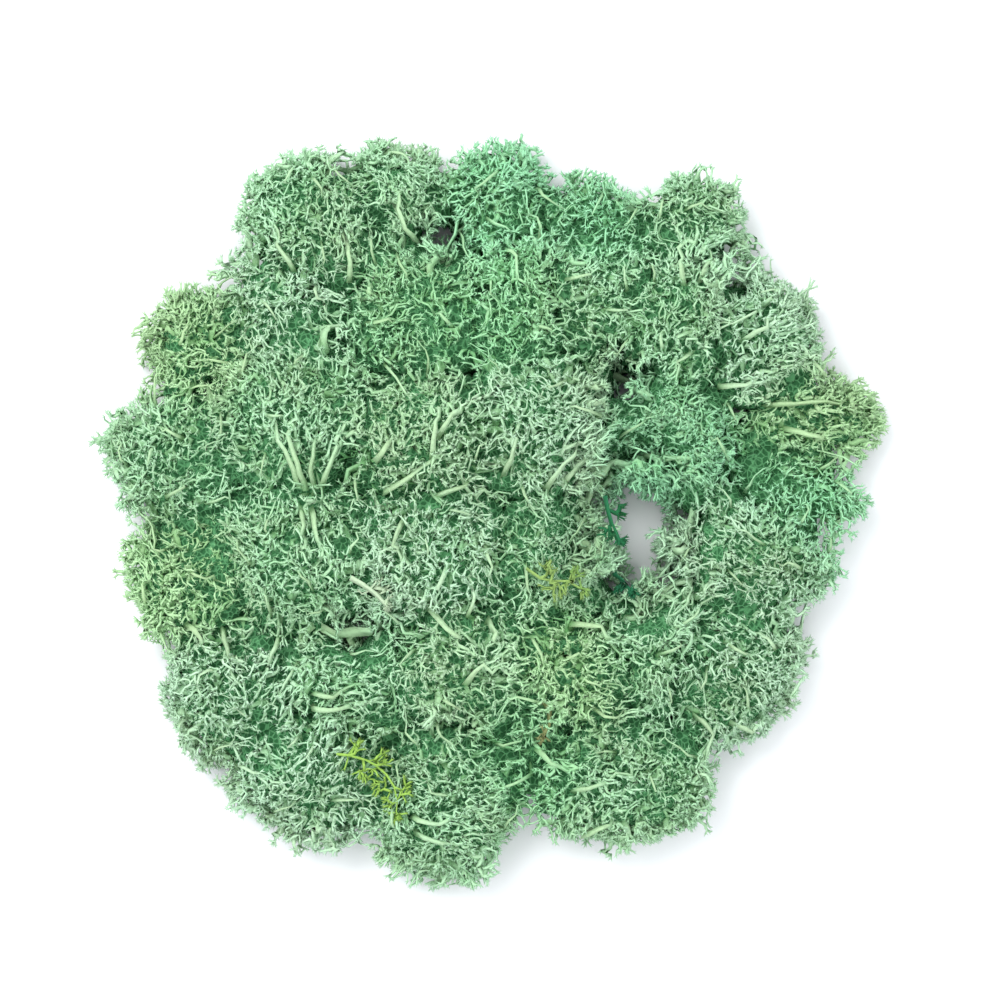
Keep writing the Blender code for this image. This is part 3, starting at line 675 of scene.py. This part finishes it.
def grow(plant, parent, group, base):
    """Adds the fork below a group of ends, and then all that it carries."""
    stack = [(parent, group)]
    while stack:
        parent, group = stack.pop()
        if len(group) == 1:
            i = group[0]
            plant.add(end_points[i], parent, 1, end_ways[i])
            continue
        spots = end_points[group]
        centre = spots.mean(axis=0)
        spread = math.sqrt(((spots - centre) ** 2).sum() / len(group))
        lie = end_lies[group].mean(axis=0)
        back = unit(-end_outs[group].mean(axis=0) - LIE_BACK * lie)
        to_base = base - centre
        far = math.sqrt(to_base @ to_base)
        depth = min(FORK_DEPTH * spread + LEAST_DEPTH, MOST_DEPTH * far)
        share = min(1.0, depth / DEEP_FORK)
        way = unit(back * (1.0 - share) + to_base / far * share)
        point = centre + way * depth + draw.normal(0.0, WANDER * min(spread, MOST_WANDER), 3)
        point[2] = max(point[2], LEAST_HEIGHT)
        point[:2] = out_of_holes(point[:2])
        here = plant.add(point, parent, len(group), -way)
        one, other = halves(spots, lie)
        stack.append((here, group[one]))
        stack.append((here, group[other]))


ROOT_HEIGHT, TRUNK_RADIUS = 0.15, 1.2
UP = np.array([0.0, 0.0, 1.0])


def carry(plant, stem, parent):
    """Adds a bare stem to a branching, and the fan of branches at its end."""
    load = len(stem.group)
    for row in range(stem.bare):
        way = unit(stem.points[row + 1] - stem.points[max(row - 1, 0)])
        parent = plant.put(stem.points[row], parent, load, way, stem.radii[row])
    grow(plant, parent, np.array(stem.group), stem.points[stem.bare - 1])


def plant_of(number):
    """The whole branching of one tuft."""
    room = rooms[tufts[number]]
    group = np.flatnonzero(end_owner == number)
    base = room.middle.copy()
    base[2] = room.high[2] * ROOT_HEIGHT
    own = [stem for stem in stems if stem.owner == number and stem.group]
    plant = Plant()
    root = plant.put(base, -1, len(group), UP)
    for k, stem in enumerate(own):
        root = plant.put(base + UP * (k + 1.0), root, len(group), UP, TRUNK_RADIUS)
        carry(plant, stem, root)
    grow(plant, root, group, base + UP * (len(own) + 1.0))
    return plant


plants = [plant_of(number) for number in range(len(tufts))]

# %% [markdown]
# ## Turn a branching into a skin
#
# Blender's Skin modifier could cover the branching, but it makes too many faces and fails on thousands
# of forks. So the skin is woven directly, all forks of one level at once. A branch is three-sided. At a
# fork, one side is split at its middle, and that new point serves both branches, like the thin web in
# the fork of a real branch. At an end, the three sides are drawn out into three points.

# %% Weave the skin
THIRDS = (0.0, math.tau / 3.0, 2.0 * math.tau / 3.0)
END_RADIUS, MOST_RADIUS, RADIUS_POWER = 0.25, 1.25, 2.35
YOUNG_AGE, AGE_FALL, STEM_AGE, HUB_AGE, TIP_AGE = 0.75, 0.085, 0.1, 0.85, 1.0
WEB = 1.25
HUB_REACH = 0.8
STAR_REACH, STAR_REACHES = 0.95, (0.7, 1.15)
STAR_SPREAD, STAR_SPREADS = 0.6, (0.6, 1.2)

skin_tree = tree_over(skin_points[::4])


def depth_of(point):
    """How far a point lies from the open skin of the pile, in millimetres."""
    return skin_tree.find(point)[2]


class Skin:
    """Points, faces and shades that are gathered while a skin is woven."""

    def __init__(self):
        self.count = 0
        self.points = []
        self.faces = []
        self.ages = []
        self.depths = []
        self.core_faces = 0

    def add(self, points, ages, depths):
        """Takes rows of points, and gives back their numbers."""
        numbers = self.count + np.arange(len(points))
        self.count += len(points)
        self.points.append(points)
        self.ages.append(np.broadcast_to(ages, len(points)))
        self.depths.append(np.broadcast_to(depths, len(points)))
        return numbers


def radius_of(load):
    """How thick a branch is that carries some number of ends."""
    return np.minimum(END_RADIUS * np.power(load, 1.0 / RADIUS_POWER), MOST_RADIUS)


def age_of(load):
    """1 at the very tips, falling towards 0 where a branch carries many ends."""
    return np.clip(YOUNG_AGE - AGE_FALL * np.log2(load), 0.0, 1.0)


def rows(*columns):
    return np.stack(columns, axis=1)


def weave(plant, youth=0.0):
    """Covers a whole branching with skin, one level of forks after another."""
    points, ways = np.array(plant.points), np.array(plant.ways)
    loads, own = np.array(plant.loads, float), np.array(plant.radii)
    depths = np.array([depth_of(point) for point in plant.points])
    radii = np.where(own > 0.0, own, radius_of(loads))
    for i, parent in enumerate(plant.parents[1:], 1):
        radii[i] = own[i] or min(radii[i], radii[parent])
    ages = np.maximum(np.where(own > 0.0, STEM_AGE, age_of(loads)), youth)
    kids = np.full((len(points), 2), -1)
    for i, parent in enumerate(plant.parents[1:], 1):
        kids[parent, int(kids[parent, 0] >= 0)] = i
    skin = Skin()
    first, second = across(ways[:1])
    ring = [first[0] * math.cos(turn) + second[0] * math.sin(turn) for turn in THIRDS]
    root = skin.add(points[0] + radii[0] * np.array(ring), ages[0], depths[0])
    skin.faces.append(root[None, ::-1])
    level, door = kids[:1, 0], root[None, :]
    while len(level):
        one, other = kids[level].T
        forked, ended, single = other >= 0, one < 0, (one >= 0) & (other < 0)
        size, here, age, depth = radii[level][:, None], points[level], ages[level], depths[level]
        corner = np.concatenate(skin.points)[door]
        centre = corner.mean(axis=1)
        ahead = np.where(forked[:, None], 0.5 * (points[one] + points[other]), points[one])
        ahead[ended] = (here + ways[level])[ended]
        along = unit(unit(here - centre) + unit(ahead - here))
        # The ring round this point is turned as the last one was, so the branch isn't twisted.
        start = corner[:, 0] - centre
        start = unit(start - along * (start * along).sum(axis=1, keepdims=True))
        side = np.cross(along, start)
        side[(side * (corner[:, 1] - centre)).sum(axis=1) < 0.0] *= -1.0
        ring = [start * math.cos(turn) + side * math.sin(turn) for turn in THIRDS]
        upper = here[:, None] + size[:, None] * np.stack(ring, axis=1)
        numbers = skin.add(upper.reshape(-1, 3), np.repeat(age, 3), np.repeat(depth, 3)).reshape(-1, 3)
        # At a fork, the side that is split is the one that faces along the line between the branches.
        spread = points[other] - points[one]
        widths = [np.abs(((upper[:, k - 1] - upper[:, k - 2]) * spread).sum(axis=1)) for k in range(3)]
        order = (np.argmax(widths, axis=0)[:, None] + np.arange(3)) % 3
        pick = np.arange(len(level))[:, None]
        door, upper, numbers = door[pick, order], upper[pick, order], numbers[pick, order]
        # The corners a, b, c of this ring are joined to the corners p, q, r of the one before.
        a, b, c = numbers.T
        p, q, r = door.T
        half = np.full(len(level), -1)
        middle = 0.5 * (upper[:, 1] + upper[:, 2]) + along * size * WEB
        half[forked] = skin.add(middle[forked], age[forked], depth[forked])
        skin.faces += [rows(p, q, b), rows(p, b, a), rows(r, p, a), rows(r, a, c)]
        skin.faces += [rows(q, r, c)[~forked], rows(q, c, b)[~forked]]
        skin.faces += [rows(q, r, half)[forked], rows(q, half, b)[forked], rows(r, c, half)[forked]]
        stars(skin, here[ended], along[ended], size[ended], upper[ended], numbers[ended], depth[ended])
        swap = ((upper[:, 2] - upper[:, 1]) * spread).sum(axis=1) < 0.0
        near_one, near_other = np.where(swap, other, one), np.where(swap, one, other)
        level = np.concatenate([near_one[forked], near_other[forked], one[single]])
        door = [rows(a, b, half)[forked], rows(a, half, c)[forked], rows(a, b, c)[single]]
        door = np.concatenate(door)
    return skin


def stars(skin, centres, along, size, ring, numbers, depths):
    """Draws each end's three sides out into three points."""
    hub = skin.add(centres + along * size * HUB_REACH, HUB_AGE, depths)
    for k in range(3):
        a, b = numbers[:, k], numbers[:, (k + 1) % 3]
        side = unit(0.5 * (ring[:, k] + ring[:, (k + 1) % 3]) - centres)
        reach = STAR_REACH * draw.uniform(*STAR_REACHES, (len(centres), 1))
        out = STAR_SPREAD * draw.uniform(*STAR_SPREADS, (len(centres), 1))
        tips = skin.add(centres + along * reach + side * out, TIP_AGE, depths)
        skin.faces += [rows(a, b, tips), rows(b, hub, tips), rows(hub, a, tips)]


def piece_from(skin, name, finish, dye=None):
    """Makes the woven skin an object, with its age, depth and dye as attributes for the material."""
    points = np.concatenate(skin.points) * MM
    points[:, 2] = np.maximum(points[:, 2], 0.0)
    faces = np.concatenate(skin.faces)
    mesh = bpy.data.meshes.new(name)
    mesh.vertices.add(len(points))
    mesh.vertices.foreach_set("co", points.astype(np.float32).ravel())
    mesh.loops.add(faces.size)
    mesh.loops.foreach_set("vertex_index", faces.astype(np.int32).ravel())
    mesh.polygons.add(len(faces))
    mesh.polygons.foreach_set("loop_start", np.arange(0, faces.size, 3, dtype=np.int32))
    mesh.update(calc_edges=True)
    mesh.polygons.foreach_set("use_smooth", np.ones(len(faces), bool))
    for title, values in (("age", skin.ages), ("depth", skin.depths)):
        layer = mesh.attributes.new(title, "FLOAT", "POINT")
        layer.data.foreach_set("value", np.concatenate(values).astype(np.float32))
    colours = dye_of(points / MM) if dye is None else np.tile(dye, (len(points), 1))
    colours = np.column_stack([colours, np.ones(len(points))])
    layer = mesh.attributes.new("dye", "FLOAT_COLOR", "POINT")
    layer.data.foreach_set("color", colours.astype(np.float32).ravel())
    mesh.materials.append(finish)
    if skin.core_faces:
        # The faces of the old growth take the finish that is painted in shade.
        mesh.materials.append(inside_shade_finish)
        which = np.zeros(len(faces), np.int32)
        which[-skin.core_faces :] = 1
        mesh.polygons.foreach_set("material_index", which)
    mesh.validate()
    piece = bpy.data.objects.new(name, mesh)
    bpy.context.scene.collection.objects.link(piece)
    return piece


# %% [markdown]
# ## The colour of dyed lichen
#
# Patches of the clump took more dye than others, and one patch runs softly into the next. An image
# could be painted, but then the mesh must be unwrapped. Instead each point of the skin keeps its own
# dye colour, mixed from the growths near it, and the material reads it.

# %% Mix the dye of each place from the tufts near it
DYES = {
    "lichen_sage": (0.46, 0.75, 0.48),
    "lichen_mint": (0.36, 0.75, 0.45),
    "lichen_pale": (0.52, 0.77, 0.54),
    "lichen_olive": (0.48, 0.75, 0.41),
    "lichen_deep": (0.37, 0.72, 0.40),
    "lichen_brown": (0.48, 0.72, 0.46),
}
STRAW = (0.31, 0.44, 0.22)
DYE_REACH = 9.0
middles = np.array([rooms[name].middle for name in tufts])
tuft_dyes = np.array([DYES[slot_of[name]] for name in tufts])


def dye_of(points):
    """The dye colour at each point, run together over the borders of the tufts."""
    apart = np.linalg.norm(points[:, None, :2] - middles[None, :, :2], axis=2)
    pull = np.exp(-((apart / DYE_REACH) ** 2)) + 1e-9
    return (pull @ tuft_dyes) / pull.sum(axis=1, keepdims=True)


# %% [markdown]
# ## The finish of the branches
#
# Young tips are a cool mint green, and old stems a pale straw green. The skin is dull and slightly
# rough, like felt. Deep branches get painted shade, a darker green, as the light there has met other
# branches first. A painted texture could show all this, but attributes and noise need no unwrapping.

# %% Make the finish of the branches
STRAW_SHARE = 0.7
# Painted shade of deep branches: the darker green that multiplies their colour, from 2.6 mm deep, in
# full at 7.5 mm.
DEEP_SHADE_TINT = (0.44, 0.72, 0.46)
DEEP_FROM, DEEP_TO = 2.6, 7.5
PATCH_SCALE, PATCH_DRIFT = 60.0, 0.35
GRAIN_SCALE, GRAIN_BUMP, GRAIN_DEPTH = 1400.0, 0.3, 0.0001
NOISE_LOW, NOISE_HIGH = 0.3, 0.7
DARK_GRAIN, LIGHT_GRAIN = 0.88, 1.1
ROUGHNESS, SHEEN = 0.85, 0.25
A, B, MIXED = 6, 7, 2


def finish_named(name, roughness, sheen=0.5):
    """A new material with its node tree and its shader."""
    material = bpy.data.materials.new(name)
    material.use_nodes = True
    shader = material.node_tree.nodes["Principled BSDF"]
    shader.inputs["Roughness"].default_value = roughness
    shader.inputs["Specular IOR Level"].default_value = sheen
    return material, material.node_tree, shader


def linked(tree, kind, inputs=(), **settings):
    """A shader node with its settings and its inputs, given as values or as sockets to link from."""
    node = tree.nodes.new("ShaderNode" + kind)
    for title, value in settings.items():
        setattr(node, title, value)
    for title, value in inputs:
        if isinstance(value, bpy.types.NodeSocket):
            tree.links.new(value, node.inputs[title])
        else:
            node.inputs[title].default_value = value
    return node


def mixed_colour(tree, factor, one, other, **settings):
    """A colour between two others. A, B and MIXED are the numbers of the node's colour sockets."""
    inputs = [("Factor", factor), (A, one), (B, other)]
    return linked(tree, "Mix", inputs, data_type="RGBA", **settings).outputs[MIXED]


def stretched(tree, value, low, high, to_low=0.0, to_high=1.0):
    """A value with the span from low to high stretched over another span."""
    spans = [("From Min", low), ("From Max", high), ("To Min", to_low), ("To Max", to_high)]
    return linked(tree, "MapRange", [("Value", value), *spans]).outputs[0]


def bumped(tree, shader, height, strength, distance, **settings):
    """Lets the shader see a rough surface where there is a smooth one."""
    inputs = [("Height", height), ("Strength", strength), ("Distance", distance)]
    bump = linked(tree, "Bump", inputs, **settings)
    tree.links.new(bump.outputs["Normal"], shader.inputs["Normal"])


def lichen(slot):
    """The finish of the branches for one material slot of the part."""
    material, tree, shader = finish_named(slot + "_finish", ROUGHNESS, SHEEN)
    age = linked(tree, "Attribute", attribute_name="age").outputs["Fac"]
    depth = linked(tree, "Attribute", attribute_name="depth").outputs["Fac"]
    dye = linked(tree, "Attribute", attribute_name="dye").outputs["Color"]
    place = ("Vector", linked(tree, "TexCoord").outputs["Object"])
    patch = linked(tree, "TexNoise", [place, ("Scale", PATCH_SCALE), ("Detail", 4.0)])
    grain = linked(tree, "TexNoise", [place, ("Scale", GRAIN_SCALE), ("Detail", 2.0)])
    patch, grain = patch.outputs["Fac"], grain.outputs["Fac"]
    drift = stretched(tree, patch, NOISE_LOW, NOISE_HIGH, -PATCH_DRIFT, PATCH_DRIFT)
    young = linked(tree, "Math", [(0, age), (1, drift)], operation="ADD", use_clamp=True)
    stem = mixed_colour(tree, STRAW_SHARE, dye, (*STRAW, 1.0))
    body = mixed_colour(tree, young.outputs[0], stem, dye)
    # Painted shade: the deeper a point lies under the open skin, the more its colour is multiplied by a
    # darker green.
    sunk = stretched(tree, depth, DEEP_FROM, DEEP_TO)
    deep_shade = mixed_colour(tree, 1.0, body, (*DEEP_SHADE_TINT, 1.0), blend_type="MULTIPLY")
    shaded = mixed_colour(tree, sunk, body, deep_shade)
    light = stretched(tree, grain, NOISE_LOW, NOISE_HIGH, DARK_GRAIN, LIGHT_GRAIN)
    toned = linked(tree, "HueSaturation", [("Value", light), ("Color", shaded)])
    tree.links.new(toned.outputs["Color"], shader.inputs["Base Color"])
    bumped(tree, shader, grain, GRAIN_BUMP, GRAIN_DEPTH)
    return material


materials = {slot: lichen(slot) for slot in sorted(set(slot_of.values()))}

# %% [markdown]
# ## The old growth inside
#
# Deep in a tuft the old stems stand so close that no light comes through. Only glimpses of them are
# seen between the branches, so their finish is painted shade: a dim green net of twigs over dark green,
# from the edges of a Voronoi texture. An image of real twigs would do too, but it is one more file to
# keep.

# %% Make the finish of the old growth
NET_SCALE = 760.0
# Both colours of the net are painted shade: dim green for the twigs and dark green for the cells
# between.
NET_SHADE, NET_SHADED_TWIGS = (0.03, 0.12, 0.045), (0.12, 0.34, 0.15)
TWIG_FROM, TWIG_TO = 0.02, 0.2
NET_BUMP, NET_DEPTH = 0.6, 0.0006
NET_ROUGHNESS, NET_SHEEN = 1.0, 0.1

inside_shade_finish, tree, shader = finish_named("old_growth_painted_shade", NET_ROUGHNESS, NET_SHEEN)
place = ("Vector", linked(tree, "TexCoord").outputs["Object"])
net = linked(tree, "TexVoronoi", [place, ("Scale", NET_SCALE)], feature="DISTANCE_TO_EDGE")
inside = stretched(tree, net.outputs["Distance"], TWIG_FROM, TWIG_TO)
colour = mixed_colour(tree, inside, (*NET_SHADED_TWIGS, 1.0), (*NET_SHADE, 1.0))
tree.links.new(colour, shader.inputs["Base Color"])
bumped(tree, shader, inside, NET_BUMP, NET_DEPTH, invert=True)

# %% [markdown]
# ## The form of the old growth
#
# A lumpy body fills the middle of each tuft. It reaches up to the neighbour that the tuft presses on,
# and stays well back behind the branches towards open air. The Displace modifier could shape a ball so.
# Here each point of a ball is moved along its own line, because it can then be tested against holes and
# rim.

# %% Add the crowded middle to a skin
CORE_HEIGHT, CORE_LEAST = 0.35, 0.35
CORE_SIDE, CORE_OVER, CORE_UNDER = 5.0, 1.6, 6.0
CORE_INLAND, CORE_FROM_HOLE = 3.5, 1.6
PRESSED_PROBES, PRESSED_UNDER, PRESSED_INLAND = (1.5, 3.0, 4.5, 6.0), 1.5, 5.0
CORE_FOOT, FOOT_TURN = 0.3, 2.0
CORE_ROUNDS = 2
SHARES = np.linspace(0.2, 1.0, 17)
CORE_LUMPS, CORE_LUMP_SIZE = 1.2, 3.2
CORE_FLOOR = 0.3
CORE_AGE, CORE_DEPTH = 0.2, 9.0


def add_core(skin, name):
    """Adds the old growth of one tuft to its skin."""
    room = rooms[name]
    ball = bmesh.new()
    bmesh.ops.create_icosphere(ball, subdivisions=3, radius=1.0)
    ways = unit(np.array([v.co[:] for v in ball.verts]))
    faces = np.array([[v.index for v in face.verts] for face in ball.faces])
    ball.free()
    middle = room.middle.copy()
    middle[2] = CORE_HEIGHT * room.high[2]
    slopes = ways @ room.normals.T
    left = room.offsets - room.normals @ middle
    reach = np.where(slopes > 1e-6, left / np.maximum(slopes, 1e-6), np.inf).min(axis=1)
    pressed = np.ones(len(ways), bool)
    for beyond in PRESSED_PROBES:
        probe = middle + ways * (reach + beyond)[:, None]
        pressed &= sheet_at(probe) > probe[:, 2] + PRESSED_UNDER
        pressed &= read_off(inland, probe) > PRESSED_INLAND
    open_reach = np.maximum(reach - CORE_SIDE, CORE_LEAST * reach)
    foot = 1.0 - CORE_FOOT * np.clip(-FOOT_TURN * ways[:, 2], 0.0, 1.0)
    full = np.where(pressed, reach + CORE_OVER, open_reach) * np.where(pressed, 1.0, foot)
    # The step from pressed to open is eased, by never letting the open side exceed its neighbours' mean.
    for _ in range(CORE_ROUNDS):
        total, count = np.zeros(len(ways)), np.zeros(len(ways))
        for k in range(3):
            np.add.at(total, faces[:, k], full[faces[:, k - 1]])
            np.add.at(count, faces[:, k], 1.0)
        full = np.where(pressed, full, np.minimum(full, 0.5 * full + 0.5 * total / count))
    probe = middle + ways[:, None] * (full[:, None] * SHARES)[..., None]
    covered = read_off(inland, probe) > CORE_INLAND
    covered &= hole_gaps(probe).min(axis=0) > CORE_FROM_HOLE
    covered = np.cumprod(covered, axis=1)
    full *= np.maximum(SHARES[0], (covered * SHARES).max(axis=1))
    points = middle + ways * full[:, None]
    lumps = np.array([noise.noise(Vector(point / CORE_LUMP_SIZE)) for point in points])
    points[:, 2] = np.minimum(points[:, 2], sheet_at(points) - CORE_UNDER + CORE_LUMPS * lumps)
    points[:, 2] = np.maximum(points[:, 2], CORE_FLOOR)
    numbers = skin.add(points, CORE_AGE, CORE_DEPTH)
    skin.faces.append(numbers[faces])
    skin.core_faces = len(faces)


# %% [markdown]
# ## The tufts
#
# Each tuft is one piece, branches and old growth in one mesh. It takes the place of the coarse solid of
# the same tuft and keeps its slot, so that it can be dyed anew. One mesh for all tufts would look the
# same, but then none could be moved.

# %% Put every tuft together
triangles = 0
for number, name in enumerate(tufts):
    woven = weave(plants[number])
    add_core(woven, name)
    piece = piece_from(woven, "lichen_" + name, materials[slot_of[name]])
    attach(piece, "root")
    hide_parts(name)
    triangles += len(piece.data.polygons)

# %% [markdown]
# ## Loose scraps
#
# Six scraps lie on the pile: a fresh yellow-green sprig, a bare brown twig, a pale stub, an olive scrap
# and two dyed a dark teal. Each is a short stem with forked side twigs. A curve with a bevel could draw
# them. They are woven like the tufts, so that their twigs fork and end like all others.

# %% Grow the scraps along their stems
# Each scrap: its dye, its thickness, its route in plan, and its side twigs, as the point of the route
# that each grows from, the side that it grows to, and its length.
SPRIG = [(-36.5, -55), (-33.5, -55.3), (-30.5, -56.2), (-27.5, -57.6), (-25, -59.8), (-23.2, -62.6)]
SPRIG += [(-22.6, -65.8), (-22.8, -68.5)]
SPRIG_TWIGS = [(1, 1, 4.5), (2, -1, 5.5), (3, 1, 4.5), (4, -1, 5.5), (5, 1, 4.5), (6, -1, 4)]
TWIG = [(11, -42.5), (12.4, -45.5), (12.2, -48.5), (11, -50.8)]
STUB = [(-33, -14.5), (-30.2, -16.1), (-27.6, -18), (-25.6, -20)]
OLIVE = [(7, -12.5), (10, -14.6), (13.2, -15.4), (16.4, -15.4), (19.2, -17)]
TEAL = [(25, 4), (25.6, 0.8), (26.4, -2.4), (27.8, -5.4)]
TEAL_SMALL = [(27, -13.8), (29.2, -15.4), (30.8, -17.6)]
SCRAPS = {
    "loose_sprig_yellow": ((0.29, 0.49, 0.09), 0.42, SPRIG, SPRIG_TWIGS),
    "loose_twig_brown": ((0.24, 0.27, 0.11), 0.8, TWIG, []),
    "loose_stem_pale": ((0.44, 0.57, 0.38), 0.85, STUB, [(2, 1, 3.8)]),
    "loose_scrap_olive": ((0.27, 0.42, 0.12), 0.5, OLIVE, [(1, 1, 4.5), (2, -1, 4.5), (3, 1, 4)]),
    "loose_scrap_teal": ((0.02, 0.16, 0.07), 0.7, TEAL, [(1, 1, 4), (2, -1, 4)]),
    "loose_scrap_teal_small": ((0.02, 0.16, 0.07), 0.6, TEAL_SMALL, [(1, -1, 3.6)]),
}
SCRAP_YOUTH = 1.4
TWIG_ENDS = 11
TWIG_FAN, TWIG_FLAT = 0.5, np.array([1.0, 1.0, 0.5])
TWIG_LEAN, TWIG_LENGTHS = 0.6, (0.6, 1.0)
TOP_TWIG = 2.2
TAPER = 0.4
CORNERS_READ = 4


def height_of(name, spot):
    """How high the solid of a scrap lies at a place in plan."""
    corners = np.array([corner.co[:] for corner in frame["nodes"][name].data.vertices]) / MM
    apart = np.linalg.norm(corners[:, :2] - spot, axis=1)
    return corners[np.argsort(apart)[:CORNERS_READ], 2].mean()


def scrap_plant(name, route, radius, sides):
    """A stem with side twigs. Its ends are added to the long list of branch ends."""
    global end_points, end_ways, end_outs, end_lies
    points = np.array([[x, y, height_of(name, (x, y))] for x, y in route])
    ends, groups, ways = [], {}, []
    for row, side, length in [*sides, (len(points) - 1, 0, TOP_TWIG)]:
        along = unit(points[min(row + 1, len(points) - 1)] - points[row - 1])
        way = unit(TWIG_LEAN * along + side * np.cross(UP, along))
        for _ in range(TWIG_ENDS):
            way_here = unit(way + draw.normal(0.0, TWIG_FAN, 3) * TWIG_FLAT)
            groups.setdefault(row, []).append(len(end_points) + len(ends))
            ends.append(points[row] + way_here * length * draw.uniform(*TWIG_LENGTHS))
            ways.append(way_here)
    end_points = np.vstack([end_points, ends])
    end_ways = np.vstack([end_ways, ways])
    end_outs = np.vstack([end_outs, ways])
    end_lies = np.vstack([end_lies, np.zeros((len(ends), 3))])
    plant = Plant()
    total = len(ends)
    parent = plant.put(points[0], -1, total, unit(points[1] - points[0]), radius)
    for row in range(1, len(points)):
        way = unit(points[min(row + 1, len(points) - 1)] - points[row - 1])
        here = radius * (1.0 - TAPER * row / len(points))
        parent = plant.put(points[row], parent, total, way, here)
        if row in groups:
            grow(plant, parent, np.array(groups[row]), points[row])
    return plant


for name, (dye, radius, route, sides) in SCRAPS.items():
    woven = weave(scrap_plant(name, route, radius, sides), youth=SCRAP_YOUTH)
    title = "scrap_" + name.removeprefix("loose_")
    piece = piece_from(woven, title, materials[slot_of[name]], dye)
    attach(piece, "root")
    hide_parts(name)
    triangles += len(piece.data.polygons)
print(triangles, "triangles in all")

# %% [markdown]
# ## The table, the light and the camera
#
# The clump lies on a pale table. One soft lamp stands at the upper left, since the shadows fall to the
# lower right, and a pale sky lights the rest. An image of a studio could light it too, but a lamp is
# simpler to move. The camera looks straight down from far off, so the sides stay hidden.

# %% Lay the table and set the light and camera
TABLE_SIZE, TABLE_COLOUR, TABLE_ROUGHNESS = 4.0, (0.86, 0.86, 0.88, 1.0), 0.8
SKY_COLOUR, SKY_STRENGTH = (0.95, 0.97, 1.0, 1.0), 1.46
LAMP_PLACE, LAMP_SIZE, LAMP_POWER = Vector((-0.5, 0.5, 1.1)), 0.6, 9.0
MM_A_PIXEL, PICTURE_PIXELS = 0.23, 1000.0
MIDDLE_RIGHT, MIDDLE_DOWN = 496.0, 513.0
CAMERA_DISTANCE, CAMERA_AIM = 1.2, 0.015
SENSOR = 36.0
SEEN_TO = 10.0

scene = bpy.context.scene
bpy.ops.mesh.primitive_plane_add(size=TABLE_SIZE, location=(0.0, 0.0, 0.0))
table = bpy.context.active_object
table.name = "table"
paint, _, paint_shader = finish_named("pale_table", TABLE_ROUGHNESS)
paint_shader.inputs["Base Color"].default_value = TABLE_COLOUR
table.data.materials.append(paint)

scene.world = bpy.data.worlds.new("room")
scene.world.use_nodes = True
sky = scene.world.node_tree.nodes["Background"]
sky.inputs["Color"].default_value = SKY_COLOUR
sky.inputs["Strength"].default_value = SKY_STRENGTH

light = bpy.data.lights.new("key_light", "AREA")
light.shape = "SQUARE"
light.size = LAMP_SIZE
light.energy = LAMP_POWER
lamp = bpy.data.objects.new("key_light", light)
lamp.location = LAMP_PLACE
lamp.rotation_euler = LAMP_PLACE.to_track_quat("Z", "Y").to_euler()
scene.collection.objects.link(lamp)

camera_data = bpy.data.cameras.new("overhead")
camera = bpy.data.objects.new("overhead", camera_data)
scene.collection.objects.link(camera)
scene.camera = camera
camera_data.sensor_width = SENSOR
camera_data.lens = SENSOR * CAMERA_DISTANCE / (PICTURE_PIXELS * MM_A_PIXEL * MM)
camera_data.clip_end = SEEN_TO
camera.location = (
    (0.5 * PICTURE_PIXELS - MIDDLE_RIGHT) * MM_A_PIXEL * MM,
    -(0.5 * PICTURE_PIXELS - MIDDLE_DOWN) * MM_A_PIXEL * MM,
    CAMERA_DISTANCE + CAMERA_AIM,
)
scene.view_settings.view_transform = "Standard"
